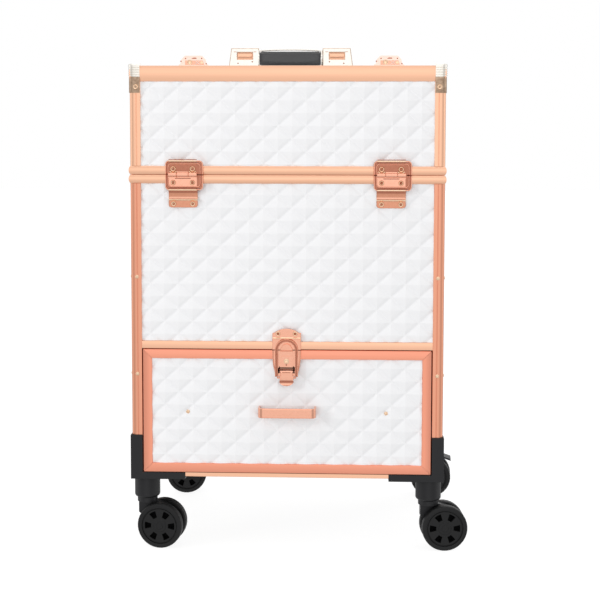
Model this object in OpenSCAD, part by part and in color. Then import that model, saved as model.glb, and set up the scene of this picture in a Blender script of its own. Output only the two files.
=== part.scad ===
// Rolling makeup train case: butterfly lid with cantilever trays, front drawer, trolley handle and
// four twin-wheel casters. Origin on the floor under the middle of the case, +Z up, front towards -Y.

/* [Case] */
// Width of the case over its corner posts
case_w = 340; // [300:5:420]
// Depth of the case over its corner posts
case_d = 240; // [220:5:300]
// Height of the underside of the case above the floor
base_z = 81; // [76:1:90]
// Height of the split between body and lid above the floor
split_z = 412; // [395:1:430]
// Height of the lid above the split
lid_h = 117; // [116:1:150]

/* [Frame rails] */
// Width of the corner post section
post = 12; // [11:0.5:14]
// Metal left outside a board that sits in a post
skin = 1.5; // [1:0.1:2]
// Thickness of the wall boards
board = 5; // [4:0.5:5.5]
// Depth of the slot that holds a board
slot = 5; // [4:0.5:5]
// Outer corner radius of a post
post_r = 5; // [3:0.5:6]
// Height of one half of the split band
rim_h = 9; // [8:0.5:11]
// How far the split band stands proud of the posts
rim_proud = 1; // [0.5:0.1:1.5]
// Gap between the two halves of the split band
seam = 0.8; // [0.4:0.1:1.2]
// Height of the top edge rail
top_rail_h = 17; // [15:0.5:20]
// Height of the rail between main compartment and drawer
cross_h = 8.5; // [6:0.5:12]
// Height of the base rail
base_h = 4.5; // [4:0.5:7]
// How far a rail's face bulges
rail_bulge = 1.6; // [0.8:0.1:2]

/* [Drawer] */
// Height of the drawer front
drawer_h = 136; // [110.5:0.5:136]
// Width of the drawer front's frame
frame_w = 10; // [8:0.5:12]
// Gap from the drawer front to the rails above and below it
drawer_gap = 0.5; // [0.4:0.1:1]
// Gap from the drawer front to each post
drawer_side_gap = 1; // [1:0.1:3]
// How far the drawer front stands proud of the posts
drawer_proud = 1; // [0.5:0.1:1.5]
// Depth of the drawer front's frame
frame_d = 10; // [8:0.5:12]
// Depth of the drawer box behind its front
box_d = 205; // [180:5:206]
// Height of the drawer box
box_h = 100; // [60:1:104]
// Wall of the drawer box
box_wall = 6; // [4:0.5:9]
// Height of the drawer slide
slide_h = 11; // [9:0.5:15]
// Running gap of slides, trays and tubes
run_gap = 0.3; // [0.2:0.05:0.5]
// Length of the pull's bar
pull_w = 63; // [50:1:80]
// Height of the pull's strap
pull_h = 10; // [8:0.5:14]
// How far the pull stands out
pull_out = 20; // [16:1:26]

/* [Trays] */
// Thickness of a link arm
arm_t = 2; // [1.5:0.1:2.5]
// Width of a link arm
arm_w = 11; // [9:0.5:11.5]
// Distance from the body pivot to the lower tray's pivot
arm_low = 50; // [48:1:52]
// Distance from the body pivot to the upper tray's pivot
arm_high = 92; // [90:1:94]
// Lean of the arms from upright at rest
arm_lean = 40; // [39:0.5:42]
// Distance between the two parallel arms
arm_pitch = 18; // [17:0.5:19]
// Radius of the tray pins
pin_r = 2; // [1.5:0.1:2.5]
// Height of a tray wall
tray_h = 27; // [22:1:28]
// Wall of a tray
tray_wall = 2.5; // [2:0.1:3]

/* [Fittings] */
// Distance of each hinge and top latch from the middle
fitting_x = 112; // [90:1:112]
// Width of a hinge plate's raised border
hinge_w = 41; // [36:1:46]
// Radius of the hinge pin
hinge_pin_r = 1.4; // [1.2:0.1:1.6]
// Outer radius of a hinge knuckle
knuckle_r = 2.7; // [2.4:0.1:3]
// Radial clearance of a pin in its bore
fit_gap = 0.05; // [0.03:0.01:0.08]
// Width of a top latch
latch_w = 26; // [22:1:30]
// Height of a top latch above the lid
latch_h = 14; // [10:0.5:14]
// Half of the carry handle's overall width
handle_half = 73.5; // [66:0.5:76]
// Length of the carry grip
grip_l = 72; // [66:1:76]
// Height of the carry handle above the lid
handle_h = 24; // [18:0.5:24]
// Wall of the corner caps and foot brackets
cap_t = 1.2; // [1:0.1:1.5]

/* [Trolley handle] */
// Distance between the two trolley tubes
trolley_span = 130; // [100:5:150]
// Width of an outer tube
tube_w = 18; // [17:0.5:22]
// Depth of an outer tube
tube_d = 12; // [12:0.5:14]
// Wall of a tube
tube_wall = 1.2; // [1:0.1:1.4]
// Height of the trolley grip
trolley_grip_h = 20; // [16:1:24]

/* [Casters] */
// Radius of a wheel
wheel_r = 25; // [22:0.5:30]
// Width of one wheel
wheel_w = 10; // [8:0.5:11]
// Distance of the axle behind the swivel
trail = 17; // [15:0.5:20]
// Distance of each swivel from the middle plane, left and right
swivel_x = 155.5; // [130:0.5:155.5]
// Distance of each swivel from the middle plane, front and back
swivel_y = 104; // [90:1:104]
// Radius of the caster socket
socket_r = 14; // [13:0.5:16]
// Radius of the caster axle
axle_r = 3; // [2.5:0.1:4]

/* [Hidden] */
$fn = 48;
eps = 0.01;

rose = "#F3AE90";
deep_rose = "#D98B70";
champagne = "#EBD9BD";
board_white = "#F2F2F2";
lining = "#3A3A3C";
black_plastic = "#2B2B2D";
steel = "#B9B9BD";

// Case outline
half_w = case_w / 2;
half_d = case_d / 2;
top_z = split_z + lid_h;
inner_x = half_w - post;
inner_y = half_d - post;
wall_x = half_w - skin - board;
wall_y = half_d - skin - board;
slot_x = half_w - post + slot;
slot_y = half_d - post + slot;
floor_z = base_z + base_h;
rim_z0 = split_z - seam / 2 - rim_h;
lid_rim_z1 = split_z + seam / 2 + rim_h;
top_rail_z = top_z - top_rail_h;
seam_y = 0.3;

// Drawer
drawer_z0 = floor_z + drawer_gap;
drawer_z1 = drawer_z0 + drawer_h;
cross_z0 = drawer_z1 + drawer_gap;
cross_z1 = cross_z0 + cross_h;
drawer_face = -half_d - drawer_proud;
drawer_half = inner_x - drawer_side_gap;
drawer_back = drawer_face + frame_d;
panel_inset = 1.5;
box_half = drawer_half - frame_w;
box_z0 = drawer_z0 + 7;
slide_z0 = box_z0 + 34;
slide_x = wall_x - 6.5 - run_gap;
runner_lip = 4;
runner_back = half_d - post - 3;

// Hinges
hinge_y = half_d + 5.5;
leaf_t = 2;
leaf_y = half_d + rim_proud;
rivet_r = 2.2;
rivet_h = 1;
plate_half = 16;
border_t = 2;
border_w = 3.5;
hinge_reach = 16;

// Trays, for the front half; the rear half mirrors it
arm_pivot_y = inner_y - 16;
arm_pivot_z = split_z - 13;
arm_x = wall_x - 9.5;
tray_half = arm_x - arm_t / 2 - 3;
low_tray_z = arm_pivot_z + arm_low * cos(arm_lean) - 6.3;
high_tray_z = arm_pivot_z + arm_high * cos(arm_lean) - 6.3;
open_pin_gap = 0.5;
tray_back_y = 8;
low_tray_y = inner_y - 10;
high_tray_y = inner_y - 4;

// Carry handle
mount_y0 = 6;
mount_d = 24;
bail_y = 12;
bail_z = top_z + 9;
bail_pin_r = 3;
mount_in = grip_l / 2 + 1.4;
grip_y = bail_y + 30;
grip_r = 8;

// Trolley
tube_y = half_d + 4.5 + tube_d / 2;
tube_x = trolley_span / 2;
tube_z0 = floor_z + 20;
outer_top = split_z - 37;
mid_w = tube_w - 2 * tube_wall - 2 * run_gap;
mid_d = tube_d - 2 * tube_wall - 2 * run_gap;
in_w = mid_w - 2 * tube_wall - 2 * run_gap;
in_d = mid_d - 2 * tube_wall - 2 * run_gap;
stage_lip = 3;

// Casters
bracket_t = 3;
socket_z1 = base_z - bracket_t;
socket_z0 = 2 * wheel_r + 5;
stem_r = 4;
stem_l = socket_z1 - socket_z0 - 4;
wheel_in = 4.5;
fork_half = 4;
arm_leg = 60;
sheath_h = 46;
brake_x = 15.5;
brake_pin_r = 1.1;

// ---------- shared shapes ----------

// A low dome, for rivet and screw heads
module dome(r, h) {
    ball = (r * r + h * h) / (2 * h);
    rotate_extrude() intersection() {
        translate([0, h - ball]) circle(r = ball);
        square([r, h]);
    }
}

// A block with its four vertical edges rounded, centred in X and Y
module soft_block(x, y, z, r) {
    linear_extrude(z) soft_square(x, y, r);
}

module soft_square(x, y, r) {
    square([x - 2 * r, y], center = true);
    square([x, y - 2 * r], center = true);
    for (i = [-1, 1], j = [-1, 1])
        translate([i * (x / 2 - r), j * (y / 2 - r)]) circle(r = r);
}

// Rail section with a bulging face at u = 0, standing from v = 0 to v = h
module rail_section(d, h) {
    r = (h * h / 4 + rail_bulge * rail_bulge) / (2 * rail_bulge);
    intersection() {
        square([d, h]);
        union() {
            translate([r, h / 2]) circle(r = r, $fn = 96);
            translate([min(r, d - 1), 0]) square([d, h]);
        }
    }
}

// Straight rail along X, its bulging face towards -Y
module rail_x(len, d, h) {
    translate([-len / 2, 0, 0]) rotate([90, 0, 90]) linear_extrude(len) rail_section(d, h);
}

// Four mirrored copies of a shape built in the +X +Y corner
module corners() {
    for (i = [0, 1], j = [0, 1]) mirror([i, 0, 0]) mirror([0, j, 0]) children();
}

module both_sides() {
    for (i = [0, 1]) mirror([i, 0, 0]) children();
}

module rear() {
    mirror([0, 1, 0]) children();
}

// A cylinder along X, from x0 to x1
module rod_x(r, x0, x1) {
    translate([x0, 0, 0]) rotate([0, 90, 0]) cylinder(r = r, h = x1 - x0);
}

// Extrudes an outline drawn in X and Z along Y, from y0 to y1
module slab_y(y0, y1) {
    translate([0, y1, 0]) rotate([90, 0, 0]) linear_extrude(y1 - y0) children();
}

// Extrudes an outline drawn in Y and Z along X, from x0 to x1
module slab_x(x0, x1) {
    translate([x0, 0, 0]) rotate([90, 0, 90]) linear_extrude(x1 - x0) children();
}

// ---------- body ----------

module floor_boards() {
    color(lining) for (z = [floor_z, cross_z1 - board]) translate([0, 0, z]) {
        translate([-wall_x, -inner_y, 0]) cube([2 * wall_x, 2 * inner_y, board]);
        translate([-inner_x, 0, 0]) cube([2 * inner_x, wall_y, board]);
    }
}

module side_panels() {
    color(board_white) both_sides()
        translate([wall_x, -slot_y, floor_z]) cube([board, 2 * slot_y, rim_z0 - floor_z]);
}

module back_panel() {
    color(board_white)
        translate([-slot_x, wall_y, floor_z]) cube([2 * slot_x, board, rim_z0 - floor_z]);
}

module front_panel() {
    color(board_white)
        translate([-slot_x, -wall_y - board, cross_z1]) cube([2 * slot_x, board, rim_z0 - cross_z1]);
}

// Section of a post with its outer corner at the origin and a slot for each board
module post_section() {
    difference() {
        union() {
            translate([post_r, 0]) square([post - post_r, post]);
            translate([0, post_r]) square([post, post - post_r]);
            translate([post_r, post_r]) circle(r = post_r);
        }
        translate([post - slot, skin]) square([slot + 1, board]);
        translate([skin, post - slot]) square([board, slot + 1]);
    }
}

module post_run(z0, z1) {
    translate([half_w, half_d, z0]) mirror([1, 0, 0]) mirror([0, 1, 0])
        linear_extrude(z1 - z0) post_section();
}

module corner_posts() {
    color(rose) corners() post_run(floor_z, rim_z0);
}

// Half a frame member of the split band, outside the line x = 0 .. depth
module rim_ring(z0, h) {
    reach = post + rim_proud;
    w = half_w + rim_proud;
    d = half_d + rim_proud;
    translate([0, 0, z0]) {
        for (a = [0, 180]) rotate([0, 0, a]) intersection() {
            translate([0, -d, 0]) rail_x(2 * w, reach, h);
            linear_extrude(h) polygon([[-w, -d], [w, -d], [w - reach, -d + reach], [-w + reach, -d + reach]]);
        }
        for (a = [90, 270]) rotate([0, 0, a]) intersection() {
            translate([0, -w, 0]) rail_x(2 * d, reach, h);
            linear_extrude(h) polygon([[-d, -w], [d, -w], [d - reach, -w + reach], [-d + reach, -w + reach]]);
        }
    }
}

module rim_rails() {
    color(rose) rim_ring(rim_z0, rim_h);
}

module cross_rails() {
    color(rose) {
        translate([0, -half_d, cross_z0]) rail_x(2 * inner_x, post, cross_h);
        translate([0, 0, base_z]) linear_extrude(base_h) difference() {
            soft_square(case_w, case_d, post_r);
            square([2 * inner_x, 2 * inner_y], center = true);
        }
    }
}

// One corner bracket with its caster socket, in the +X +Y corner
module foot_bracket() {
    out_x = half_w + cap_t;
    out_y = half_d + cap_t;
    // sheath round the post
    difference() {
        translate([half_w - post, half_d - post, floor_z])
            cube([post + cap_t, post + cap_t, sheath_h - base_h]);
        translate([half_w - post - 1, half_d - post - 1, floor_z - 1]) cube([post + 1, post + 1, sheath_h + 2]);
    }
    // skirt along both base rails
    difference() {
        translate([out_x - arm_leg, out_y - arm_leg, base_z]) cube([arm_leg, arm_leg, base_h]);
        translate([out_x - arm_leg - 1, out_y - arm_leg - 1, base_z - 1])
            cube([arm_leg + 1 - cap_t, arm_leg + 1 - cap_t, base_h + 2]);
    }
    // plate under the base, its inner corner cut off
    translate([out_x, out_y, socket_z1]) mirror([1, 0, 0]) mirror([0, 1, 0])
        linear_extrude(bracket_t)
            polygon([[0, 0], [arm_leg, 0], [arm_leg, 14], [36, 36], [14, arm_leg], [0, arm_leg]]);
    // socket for the caster's stem
    translate([swivel_x, swivel_y, socket_z0]) difference() {
        rotate_extrude() {
            translate([0, 3]) square([socket_r, socket_z1 - socket_z0 - 3]);
            square([socket_r - 3, 4]);
            translate([socket_r - 3, 3]) circle(r = 3);
        }
        translate([0, 0, -1]) cylinder(r = stem_r + fit_gap, h = stem_l + 2);
    }
}

module foot_brackets() {
    color(black_plastic) corners() foot_bracket();
}

module drawer_runners() {
    z0 = slide_z0 - run_gap;
    z1 = slide_z0 + slide_h + run_gap;
    color(steel) both_sides() slab_x_ends() difference() {
        translate([slide_x - 6, z0 - runner_lip]) square([wall_x - slide_x + 6, z1 - z0 + 2 * runner_lip]);
        translate([slide_x - 7, z0]) square([7 + run_gap, z1 - z0]);
    }
}

// Extrudes a section drawn in X and Z along Y, over the length of the drawer runners
module slab_x_ends() {
    slab_y(-inner_y + 1, runner_back) children();
}

// Screw heads on the posts and on the corner caps
module body_screws() {
    color(steel) {
        for (z = [split_z - 111, cross_z0 - 28]) both_sides()
            translate([half_w - 7, -half_d, z]) rotate([90, 0, 0]) dome(rivet_r, rivet_h);
        for (z = [split_z - 111, cross_z0 - 28]) both_sides() {
            translate([half_w - 7, half_d, z]) rotate([-90, 0, 0]) dome(rivet_r, rivet_h);
            for (y = [-1, 1]) translate([half_w, y * (half_d - 7), z]) rotate([0, 90, 0]) dome(rivet_r, rivet_h);
        }
    }
}

// ---------- hinges, drawn for the front at x = 0 ----------

// Outline of a hinge plate's raised border, the half above or below the split
module border_outline(reach) {
    r = 4;
    difference() {
        union() {
            translate([-hinge_w / 2, 0]) square([hinge_w, reach - r]);
            translate([-hinge_w / 2 + r, 0]) square([hinge_w - 2 * r, reach]);
            for (i = [-1, 1]) translate([i * (hinge_w / 2 - r), reach - r]) circle(r = r);
        }
        translate([-hinge_w / 2 + border_w, -1]) square([hinge_w - 2 * border_w, reach - border_w + 1]);
    }
}

// One leaf above the split: plate, raised border, two rivets and its knuckles
module leaf(knuckle_parts) {
    gap = 0.4;
    translate([0, 0, gap]) {
        slab_y(-leaf_y - leaf_t, -leaf_y)
            translate([-hinge_w / 2 + 1, 0]) square([hinge_w - 2, hinge_reach - 1.5]);
        slab_y(-leaf_y - leaf_t - border_t, -leaf_y - eps) border_outline(hinge_reach);
        for (i = [-1, 1]) translate([i * 10.5, -leaf_y - leaf_t, 8.5])
            rotate([90, 0, 0]) dome(rivet_r, rivet_h + 0.6);
    }
    for (k = knuckle_parts) {
        translate([0, -hinge_y, 0]) rod_x(knuckle_r, k[0], k[1]);
        slab_y(-hinge_y, -leaf_y - eps) translate([k[0], gap]) square([k[1] - k[0], knuckle_r - gap]);
    }
}

module pin_room(x0, x1) {
    translate([0, -hinge_y, 0]) rod_x(hinge_pin_r + fit_gap, x0, x1);
}

module upper_leaf() {
    difference() {
        leaf([[-7, 7]]);
        pin_room(-8, 8);
        for (i = [-1, 1]) translate([i * 9 - 1.8, -hinge_y - knuckle_r - 0.3, 0])
            cube([3.6, 2 * knuckle_r + 0.6, knuckle_r + 0.3]);
    }
}

module lower_leaf() {
    mirror([0, 0, 1]) difference() {
        leaf([[-10.5, -7.3], [7.3, 10.5]]);
        translate([-7.3, -hinge_y - knuckle_r - 0.3, -knuckle_r - 1])
            cube([14.6, 2 * knuckle_r + 0.6, 2 * knuckle_r + 1.3]);
    }
    translate([0, -hinge_y, 0]) rod_x(hinge_pin_r, -8, 8);
    // tab that runs down over the board, curved out at its top
    tab_z = rim_h + seam / 2 + 17.5;
    board_y = half_d - skin;
    slab_y(-board_y - 2, -board_y) translate([-plate_half, -tab_z - 10]) {
        translate([2.5, 0]) square([2 * plate_half - 5, 19]);
        translate([0, 2.5]) square([2 * plate_half, 16.5]);
        for (i = [0, 1]) translate([2.5 + i * (2 * plate_half - 5), 2.5]) circle(r = 2.5);
    }
    slab_x(-plate_half, plate_half) difference() {
        polygon([
            [-leaf_y - leaf_t, -hinge_reach - 0.4], [-board_y, -hinge_reach - 0.4],
            [-board_y, -tab_z + 6], [-board_y - 2, -tab_z + 6]
        ]);
        translate([-board_y - 12, -tab_z + 9]) circle(r = 9.2);
    }
    for (i = [-1, 1]) translate([i * 10.5, -board_y - 2, -tab_z - 3])
        rotate([90, 0, 0]) dome(rivet_r, rivet_h);
}

module at_hinges() {
    for (i = [-1, 1]) translate([i * fitting_x, 0, split_z]) children();
}

module lower_hinge_leaves() {
    color(deep_rose) {
        at_hinges() lower_leaf();
        rear() at_hinges() lower_leaf();
    }
}

module front_hinge_leaves() {
    color(deep_rose) at_hinges() upper_leaf();
}

module rear_hinge_leaves() {
    color(deep_rose) rear() at_hinges() upper_leaf();
}

// ---------- lid halves, drawn for the front ----------

side_rail_w = 9;

module lid_panels() {
    h = top_rail_z - lid_rim_z1;
    top_in = top_z - 2 - board;
    color(board_white) {
        translate([-slot_x, -wall_y - board, lid_rim_z1]) cube([2 * slot_x, board, h]);
        both_sides() translate([wall_x, -slot_y, lid_rim_z1])
            cube([board, slot_y - seam_y - side_rail_w, h]);
        translate([-inner_x, -inner_y, top_in]) cube([2 * inner_x, inner_y - seam_y - post, board]);
    }
}

module lid_frame() {
    cut = 2 * case_w;
    color(rose) {
        for (i = [0, 1]) mirror([i, 0, 0]) mirror([0, 1, 0]) post_run(lid_rim_z1, top_rail_z);
        difference() {
            rim_ring(split_z + seam / 2, rim_h);
            translate([-cut / 2, -seam_y, split_z]) cube([cut, cut, rim_h + 1]);
        }
        both_sides() translate([inner_x, -seam_y - side_rail_w, lid_rim_z1])
            cube([post, side_rail_w, top_rail_z - lid_rim_z1]);
        // top: front rail, two side rails and the rail along the split
        difference() {
            translate([0, 0, top_rail_z]) union() {
                translate([0, -half_d, 0]) rail_x(2 * (half_w - post_r), post, top_rail_h);
                for (a = [-90, 90]) rotate([0, 0, a]) translate([0, -half_w, 0])
                    rail_x(2 * (half_d - post_r), post, top_rail_h);
                both_sides() translate([half_w - post_r, -half_d + post_r, 0])
                    intersection() {
                        cylinder(r = post_r, h = top_rail_h - 1);
                        translate([0, -post_r, 0]) cube([post_r, post_r, top_rail_h]);
                    }
                translate([-inner_x, -seam_y - post, 4]) cube([2 * inner_x, post, top_rail_h - 4]);
            }
            translate([-cut / 2, -seam_y, split_z]) cube([cut, cut, lid_h + 1]);
        }
    }
}

// Pressed corner cap over the lid's outer top corner
module lid_corner() {
    cover = post + 1.5;
    cap_h = 29;
    difference() {
        translate([half_w + cap_t - cover, -half_d - cap_t, top_z + 3 - cap_h - 3])
            cube([cover, cover, cap_h + 3]);
        translate([0, -half_d, 0]) cube([half_w, case_d, top_z]);
        // ridges pressed across the upper half
        for (k = [0:2]) translate([half_w - cover - 1, -half_d - cap_t - 0.4, top_z - 1.5 - 3.4 * k])
            cube([cover + 3, 0.8, 0.8]);
    }
}

module lid_corners() {
    color(champagne) both_sides() {
        lid_corner();
        translate([half_w - 7, -half_d - cap_t, top_z - 21]) rotate([90, 0, 0]) dome(rivet_r, rivet_h);
    }
}

module front_lid_panels() lid_panels();
module front_lid_frame() lid_frame();
module front_lid_corners() lid_corners();
module rear_lid_panels() rear() lid_panels();
module rear_lid_frame() rear() lid_frame();
module rear_lid_corners() rear() lid_corners();

// ---------- top latches ----------

latch_pivot_y = 12;
latch_pivot_z = latch_h - 6;
latch_pin_r = 1.2;

module top_latch_base() {
    translate([0, -9.2, top_z]) difference() {
        union() {
            soft_block(latch_w, 17, 2, 2.5);
            for (i = [-1, 1]) slab_x(i * 8.5 - 1, i * 8.5 + 1) {
                translate([9.2 - latch_pivot_y - 2.8, 1]) square([5.6, latch_pivot_z - 1]);
                translate([9.2 - latch_pivot_y, latch_pivot_z]) circle(r = 2.8);
            }
            for (i = [-1, 1]) translate([i * 11, 5.5, 2]) dome(1.6, 0.8);
            for (i = [-1, 1]) translate([i * 11, -5.5, 2]) dome(1.6, 0.8);
        }
    }
    translate([0, -latch_pivot_y, top_z + latch_pivot_z]) rod_x(latch_pin_r, -9, 9);
}

module top_latch_lever() {
    translate([0, -latch_pivot_y, top_z + latch_pivot_z]) difference() {
        union() {
            rod_x(2.8, -7.2, 7.2);
            slab_x(-7.2, 7.2) polygon([[0, 0.2], [11.2, 1.2], [11.2, 5.2], [9.4, 6], [0, 2.8]]);
            slab_x(-10.5, 10.5) translate([3.4, 3.4]) square([7.6, 2.4]);
        }
        rod_x(latch_pin_r + fit_gap, -8, 8);
    }
}

module top_latch_catch() {
    translate([0, 9.2, top_z]) {
        soft_block(latch_w, 17, 2, 2.5);
        slab_x(-10.5, 10.5) polygon([[-8.2, 1], [6, 1], [6, 4], [0, latch_h - 2], [-2, latch_h], [-8.2, latch_h]]);
        for (i = [-1, 1]) translate([i * 11, 5.5, 2]) dome(1.6, 0.8);
    }
}

module at_latches() {
    for (i = [-1, 1]) translate([i * fitting_x, 0, 0]) children();
}

module top_latch_bases() {
    color(deep_rose) at_latches() top_latch_base();
}

module top_latch_catches() {
    color(deep_rose) at_latches() top_latch_catch();
}

module left_top_latch() {
    color(deep_rose) translate([-fitting_x, 0, 0]) top_latch_lever();
}

module right_top_latch() {
    color(deep_rose) translate([fitting_x, 0, 0]) top_latch_lever();
}

// ---------- carry handle ----------

// End mount: a low trapezoid bracket with a window in its face and a bore for the bail
module handle_mount() {
    slope = 3.5;
    difference() {
        slab_y(-mount_y0 - mount_d, -mount_y0) difference() {
            polygon([
                [mount_in, top_z], [handle_half, top_z],
                [handle_half - slope, top_z + handle_h], [mount_in, top_z + handle_h]
            ]);
            translate([mount_in + 8, top_z + 9]) square([17, 7.5]);
        }
        translate([0, -bail_y, bail_z]) rod_x(bail_pin_r + fit_gap, mount_in - 1, mount_in + 7);
    }
    translate([mount_in + 16.5, -mount_y0 - mount_d / 2, top_z + 9]) soft_block(15, 16, 5, 2);
}

module handle_mounts() {
    color(champagne) both_sides() handle_mount();
}

// Metal bail: a pin and an arm at each end, and a strap over the grip
module handle_bail() {
    arm_out = mount_in - run_gap;
    color(champagne) {
        both_sides() {
            translate([0, -bail_y, bail_z]) rod_x(bail_pin_r, arm_out - 2, mount_in + 6.5);
            slab_x(arm_out - 2.5, arm_out) {
                translate([-bail_y, bail_z]) circle(r = 6);
                translate([-grip_y, bail_z - 6]) square([grip_y - bail_y, 12]);
                translate([-grip_y, bail_z]) circle(r = 6);
            }
        }
        translate([-arm_out, -grip_y - 5, bail_z + grip_r]) cube([2 * arm_out, 10, 2]);
        both_sides() slab_x(arm_out - 2.5, arm_out)
            translate([-grip_y - 5, bail_z]) square([10, grip_r + 1]);
    }
}

module handle_grip() {
    l = grip_l / 2 - 1.7;
    color(black_plastic) translate([0, -grip_y, bail_z]) slab_x(-l, l) {
        intersection() {
            circle(r = grip_r);
            translate([-grip_r, -grip_r + 1]) square([2 * grip_r, 2 * grip_r - 1]);
        }
        translate([-5, 0]) square([10, grip_r]);
    }
}

// ---------- trays and link arms, drawn for the front ----------

module tray(y_out, z0) {
    len_y = y_out - tray_back_y;
    color(lining) {
        translate([-tray_half, -y_out, z0]) difference() {
            cube([2 * tray_half, len_y, tray_h]);
            translate([tray_wall, tray_wall, tray_wall])
                cube([2 * tray_half - 2 * tray_wall, len_y - 2 * tray_wall, tray_h]);
        }
    }
}

// Pins on a tray's two ends, at the pivots of the outer and inner arm
module tray_pins(reach) {
    color(steel) for (k = [0, 1]) both_sides()
        translate([0, -arm_pivot_y + k * arm_pitch + reach * sin(arm_lean), arm_pivot_z + reach * cos(arm_lean)])
            rod_x(pin_r, tray_half - 1, arm_x + arm_t / 2 + 0.8);
}

module low_tray() {
    tray(low_tray_y, low_tray_z);
    tray_pins(arm_low);
}

module high_tray() {
    tray(high_tray_y, high_tray_z);
    tray_pins(arm_high);
}

// A pair of arms; hole is the radius of the bores for the tray pins
module arms(k, hole) {
    color(steel) both_sides() translate([0, -arm_pivot_y + k * arm_pitch, arm_pivot_z])
        rotate([-arm_lean, 0, 0]) slab_x(arm_x - arm_t / 2, arm_x + arm_t / 2) difference() {
            union() {
                circle(r = arm_w / 2);
                translate([-arm_w / 2, 0]) square([arm_w, arm_high]);
                translate([0, arm_high]) circle(r = arm_w / 2);
            }
            circle(r = pin_r + fit_gap);
            for (l = [arm_low, arm_high]) translate([0, l]) circle(r = hole);
        }
}

module front_lower_tray() low_tray();
module front_upper_tray() high_tray();
module rear_lower_tray() rear() low_tray();
module rear_upper_tray() rear() high_tray();
module front_outer_arms() arms(0, pin_r + fit_gap);
module front_inner_arms() arms(1, pin_r + open_pin_gap);
module rear_outer_arms() rear() arms(0, pin_r + fit_gap);
module rear_inner_arms() rear() arms(1, pin_r + open_pin_gap);

// Steel strips on the side walls with the arms' body pins
module arm_brackets() {
    color(steel) for (j = [0, 1]) mirror([0, j, 0]) both_sides() {
        translate([wall_x - 3, -arm_pivot_y - 7, arm_pivot_z - 12]) cube([3, arm_pitch + 14, 14]);
        for (k = [0, 1]) translate([0, -arm_pivot_y + k * arm_pitch, arm_pivot_z]) {
            rod_x(pin_r, arm_x - arm_t / 2 - 1, wall_x - 2);
            rod_x(pin_r + 1.5, arm_x + arm_t / 2 + run_gap, wall_x - 2);
        }
    }
}

// ---------- drawer ----------

module drawer_front_panel() {
    color(board_white) translate([-drawer_half + frame_w - 1, drawer_face + panel_inset, drawer_z0 + frame_w - 1])
        cube([2 * (drawer_half - frame_w + 1), board, drawer_h - 2 * frame_w + 2]);
}

// Mitred frame with a groove that holds the panel's edge
module drawer_front_frame() {
    w = drawer_half;
    color("#FA9E80") difference() {
        translate([-w, drawer_face, drawer_z0]) cube([2 * w, frame_d, drawer_h]);
        translate([-w + frame_w, drawer_face - 1, drawer_z0 + frame_w])
            cube([2 * (w - frame_w), frame_d + 2, drawer_h - 2 * frame_w]);
        translate([-w + frame_w - 1, drawer_face + panel_inset, drawer_z0 + frame_w - 1])
            cube([2 * (w - frame_w + 1), frame_d, drawer_h - 2 * frame_w + 2]);
    }
}

// Open box; its tongue fills the lower part of the frame's opening, behind the panel
module drawer_box() {
    y0 = drawer_face + panel_inset + board;
    tongue_z1 = drawer_z1 - frame_w - 15.5;
    color(lining) difference() {
        union() {
            translate([-box_half - 1, y0, drawer_z0 + frame_w - 1])
                cube([2 * box_half + 2, drawer_back - y0, tongue_z1 - drawer_z0 - frame_w - 3]);
            translate([-box_half, y0, box_z0 + 3]) cube([2 * box_half, frame_d, tongue_z1 - box_z0 - 3]);
            translate([-box_half, drawer_back, box_z0 + 3])
                cube([2 * box_half, box_d - drawer_back + y0, box_h - 3]);
        }
        translate([-box_half + box_wall, y0 + box_wall, box_z0 + 3 + box_wall])
            cube([2 * (box_half - box_wall), box_d - 2 * box_wall, box_h]);
    }
}

// Flat strap bent into a shallow U, on two feet
module drawer_pull() {
    y0 = drawer_face + panel_inset;
    bend = 5;
    t = 2.5;
    z0 = drawer_z0 + 61;
    color(rose) translate([0, y0, z0]) {
        linear_extrude(pull_h) for (i = [0, 1]) mirror([i, 0]) {
            translate([0, -pull_out]) square([pull_w / 2 - bend, t]);
            translate([pull_w / 2 - t, -pull_out + bend]) square([t, pull_out - bend]);
            translate([pull_w / 2 - bend, -pull_out + bend]) intersection() {
                difference() {
                    circle(r = bend);
                    circle(r = bend - t);
                }
                translate([0, -bend]) square(bend);
            }
        }
    }
}

module drawer_slides() {
    y1 = drawer_back + box_d - 9;
    color(steel) both_sides() translate([box_half, -inner_y, slide_z0])
        cube([slide_x - box_half, y1 + inner_y, slide_h]);
}

module drawer_screws() {
    color(steel) both_sides() translate([108, drawer_face + panel_inset, drawer_z0 + 67])
        rotate([90, 0, 0]) dome(rivet_r, rivet_h);
}

// ---------- drawer latch ----------

shield_w = 31;
shield_t = 2;
lever_y = -drawer_face + shield_t + 2.3;
lever_z = drawer_z1 - 22.5;
loop_drop = 7;
loop_out = 12.4;
loop_in = 9.4;
loop_y0 = -drawer_face + shield_t + 1.4;
ear_x = 7.7;
ear_t = 1.5;
lever_pin_r = 0.8;
loop_pin_r = 0.9;

// Plate on the cross rail: domed top, two rivets and the post that the loop lies round
module drawer_latch_catch() {
    z0 = cross_z0 + 0.2;
    rail_y = -half_d;
    color(deep_rose) {
        slab_y(drawer_face - shield_t, rail_y) intersection() {
            translate([-shield_w / 2, z0]) square([shield_w, 23]);
            translate([0, z0 + 23 - 22]) circle(r = 22);
        }
        slab_y(rail_y, rail_y + skin) translate([-shield_w / 2, cross_z1 + 0.2]) square([shield_w, 10]);
        for (i = [-1, 1]) translate([i * 9.5, drawer_face - shield_t, z0 + 17])
            rotate([90, 0, 0]) dome(rivet_r, rivet_h);
        translate([-5, drawer_face - shield_t - 4, z0]) cube([10, 4.1, 5.2]);
        translate([-shield_w / 2, drawer_face - shield_t - 0.8, z0 + 12.4]) cube([shield_w, 1, 1.4]);
    }
}

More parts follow.
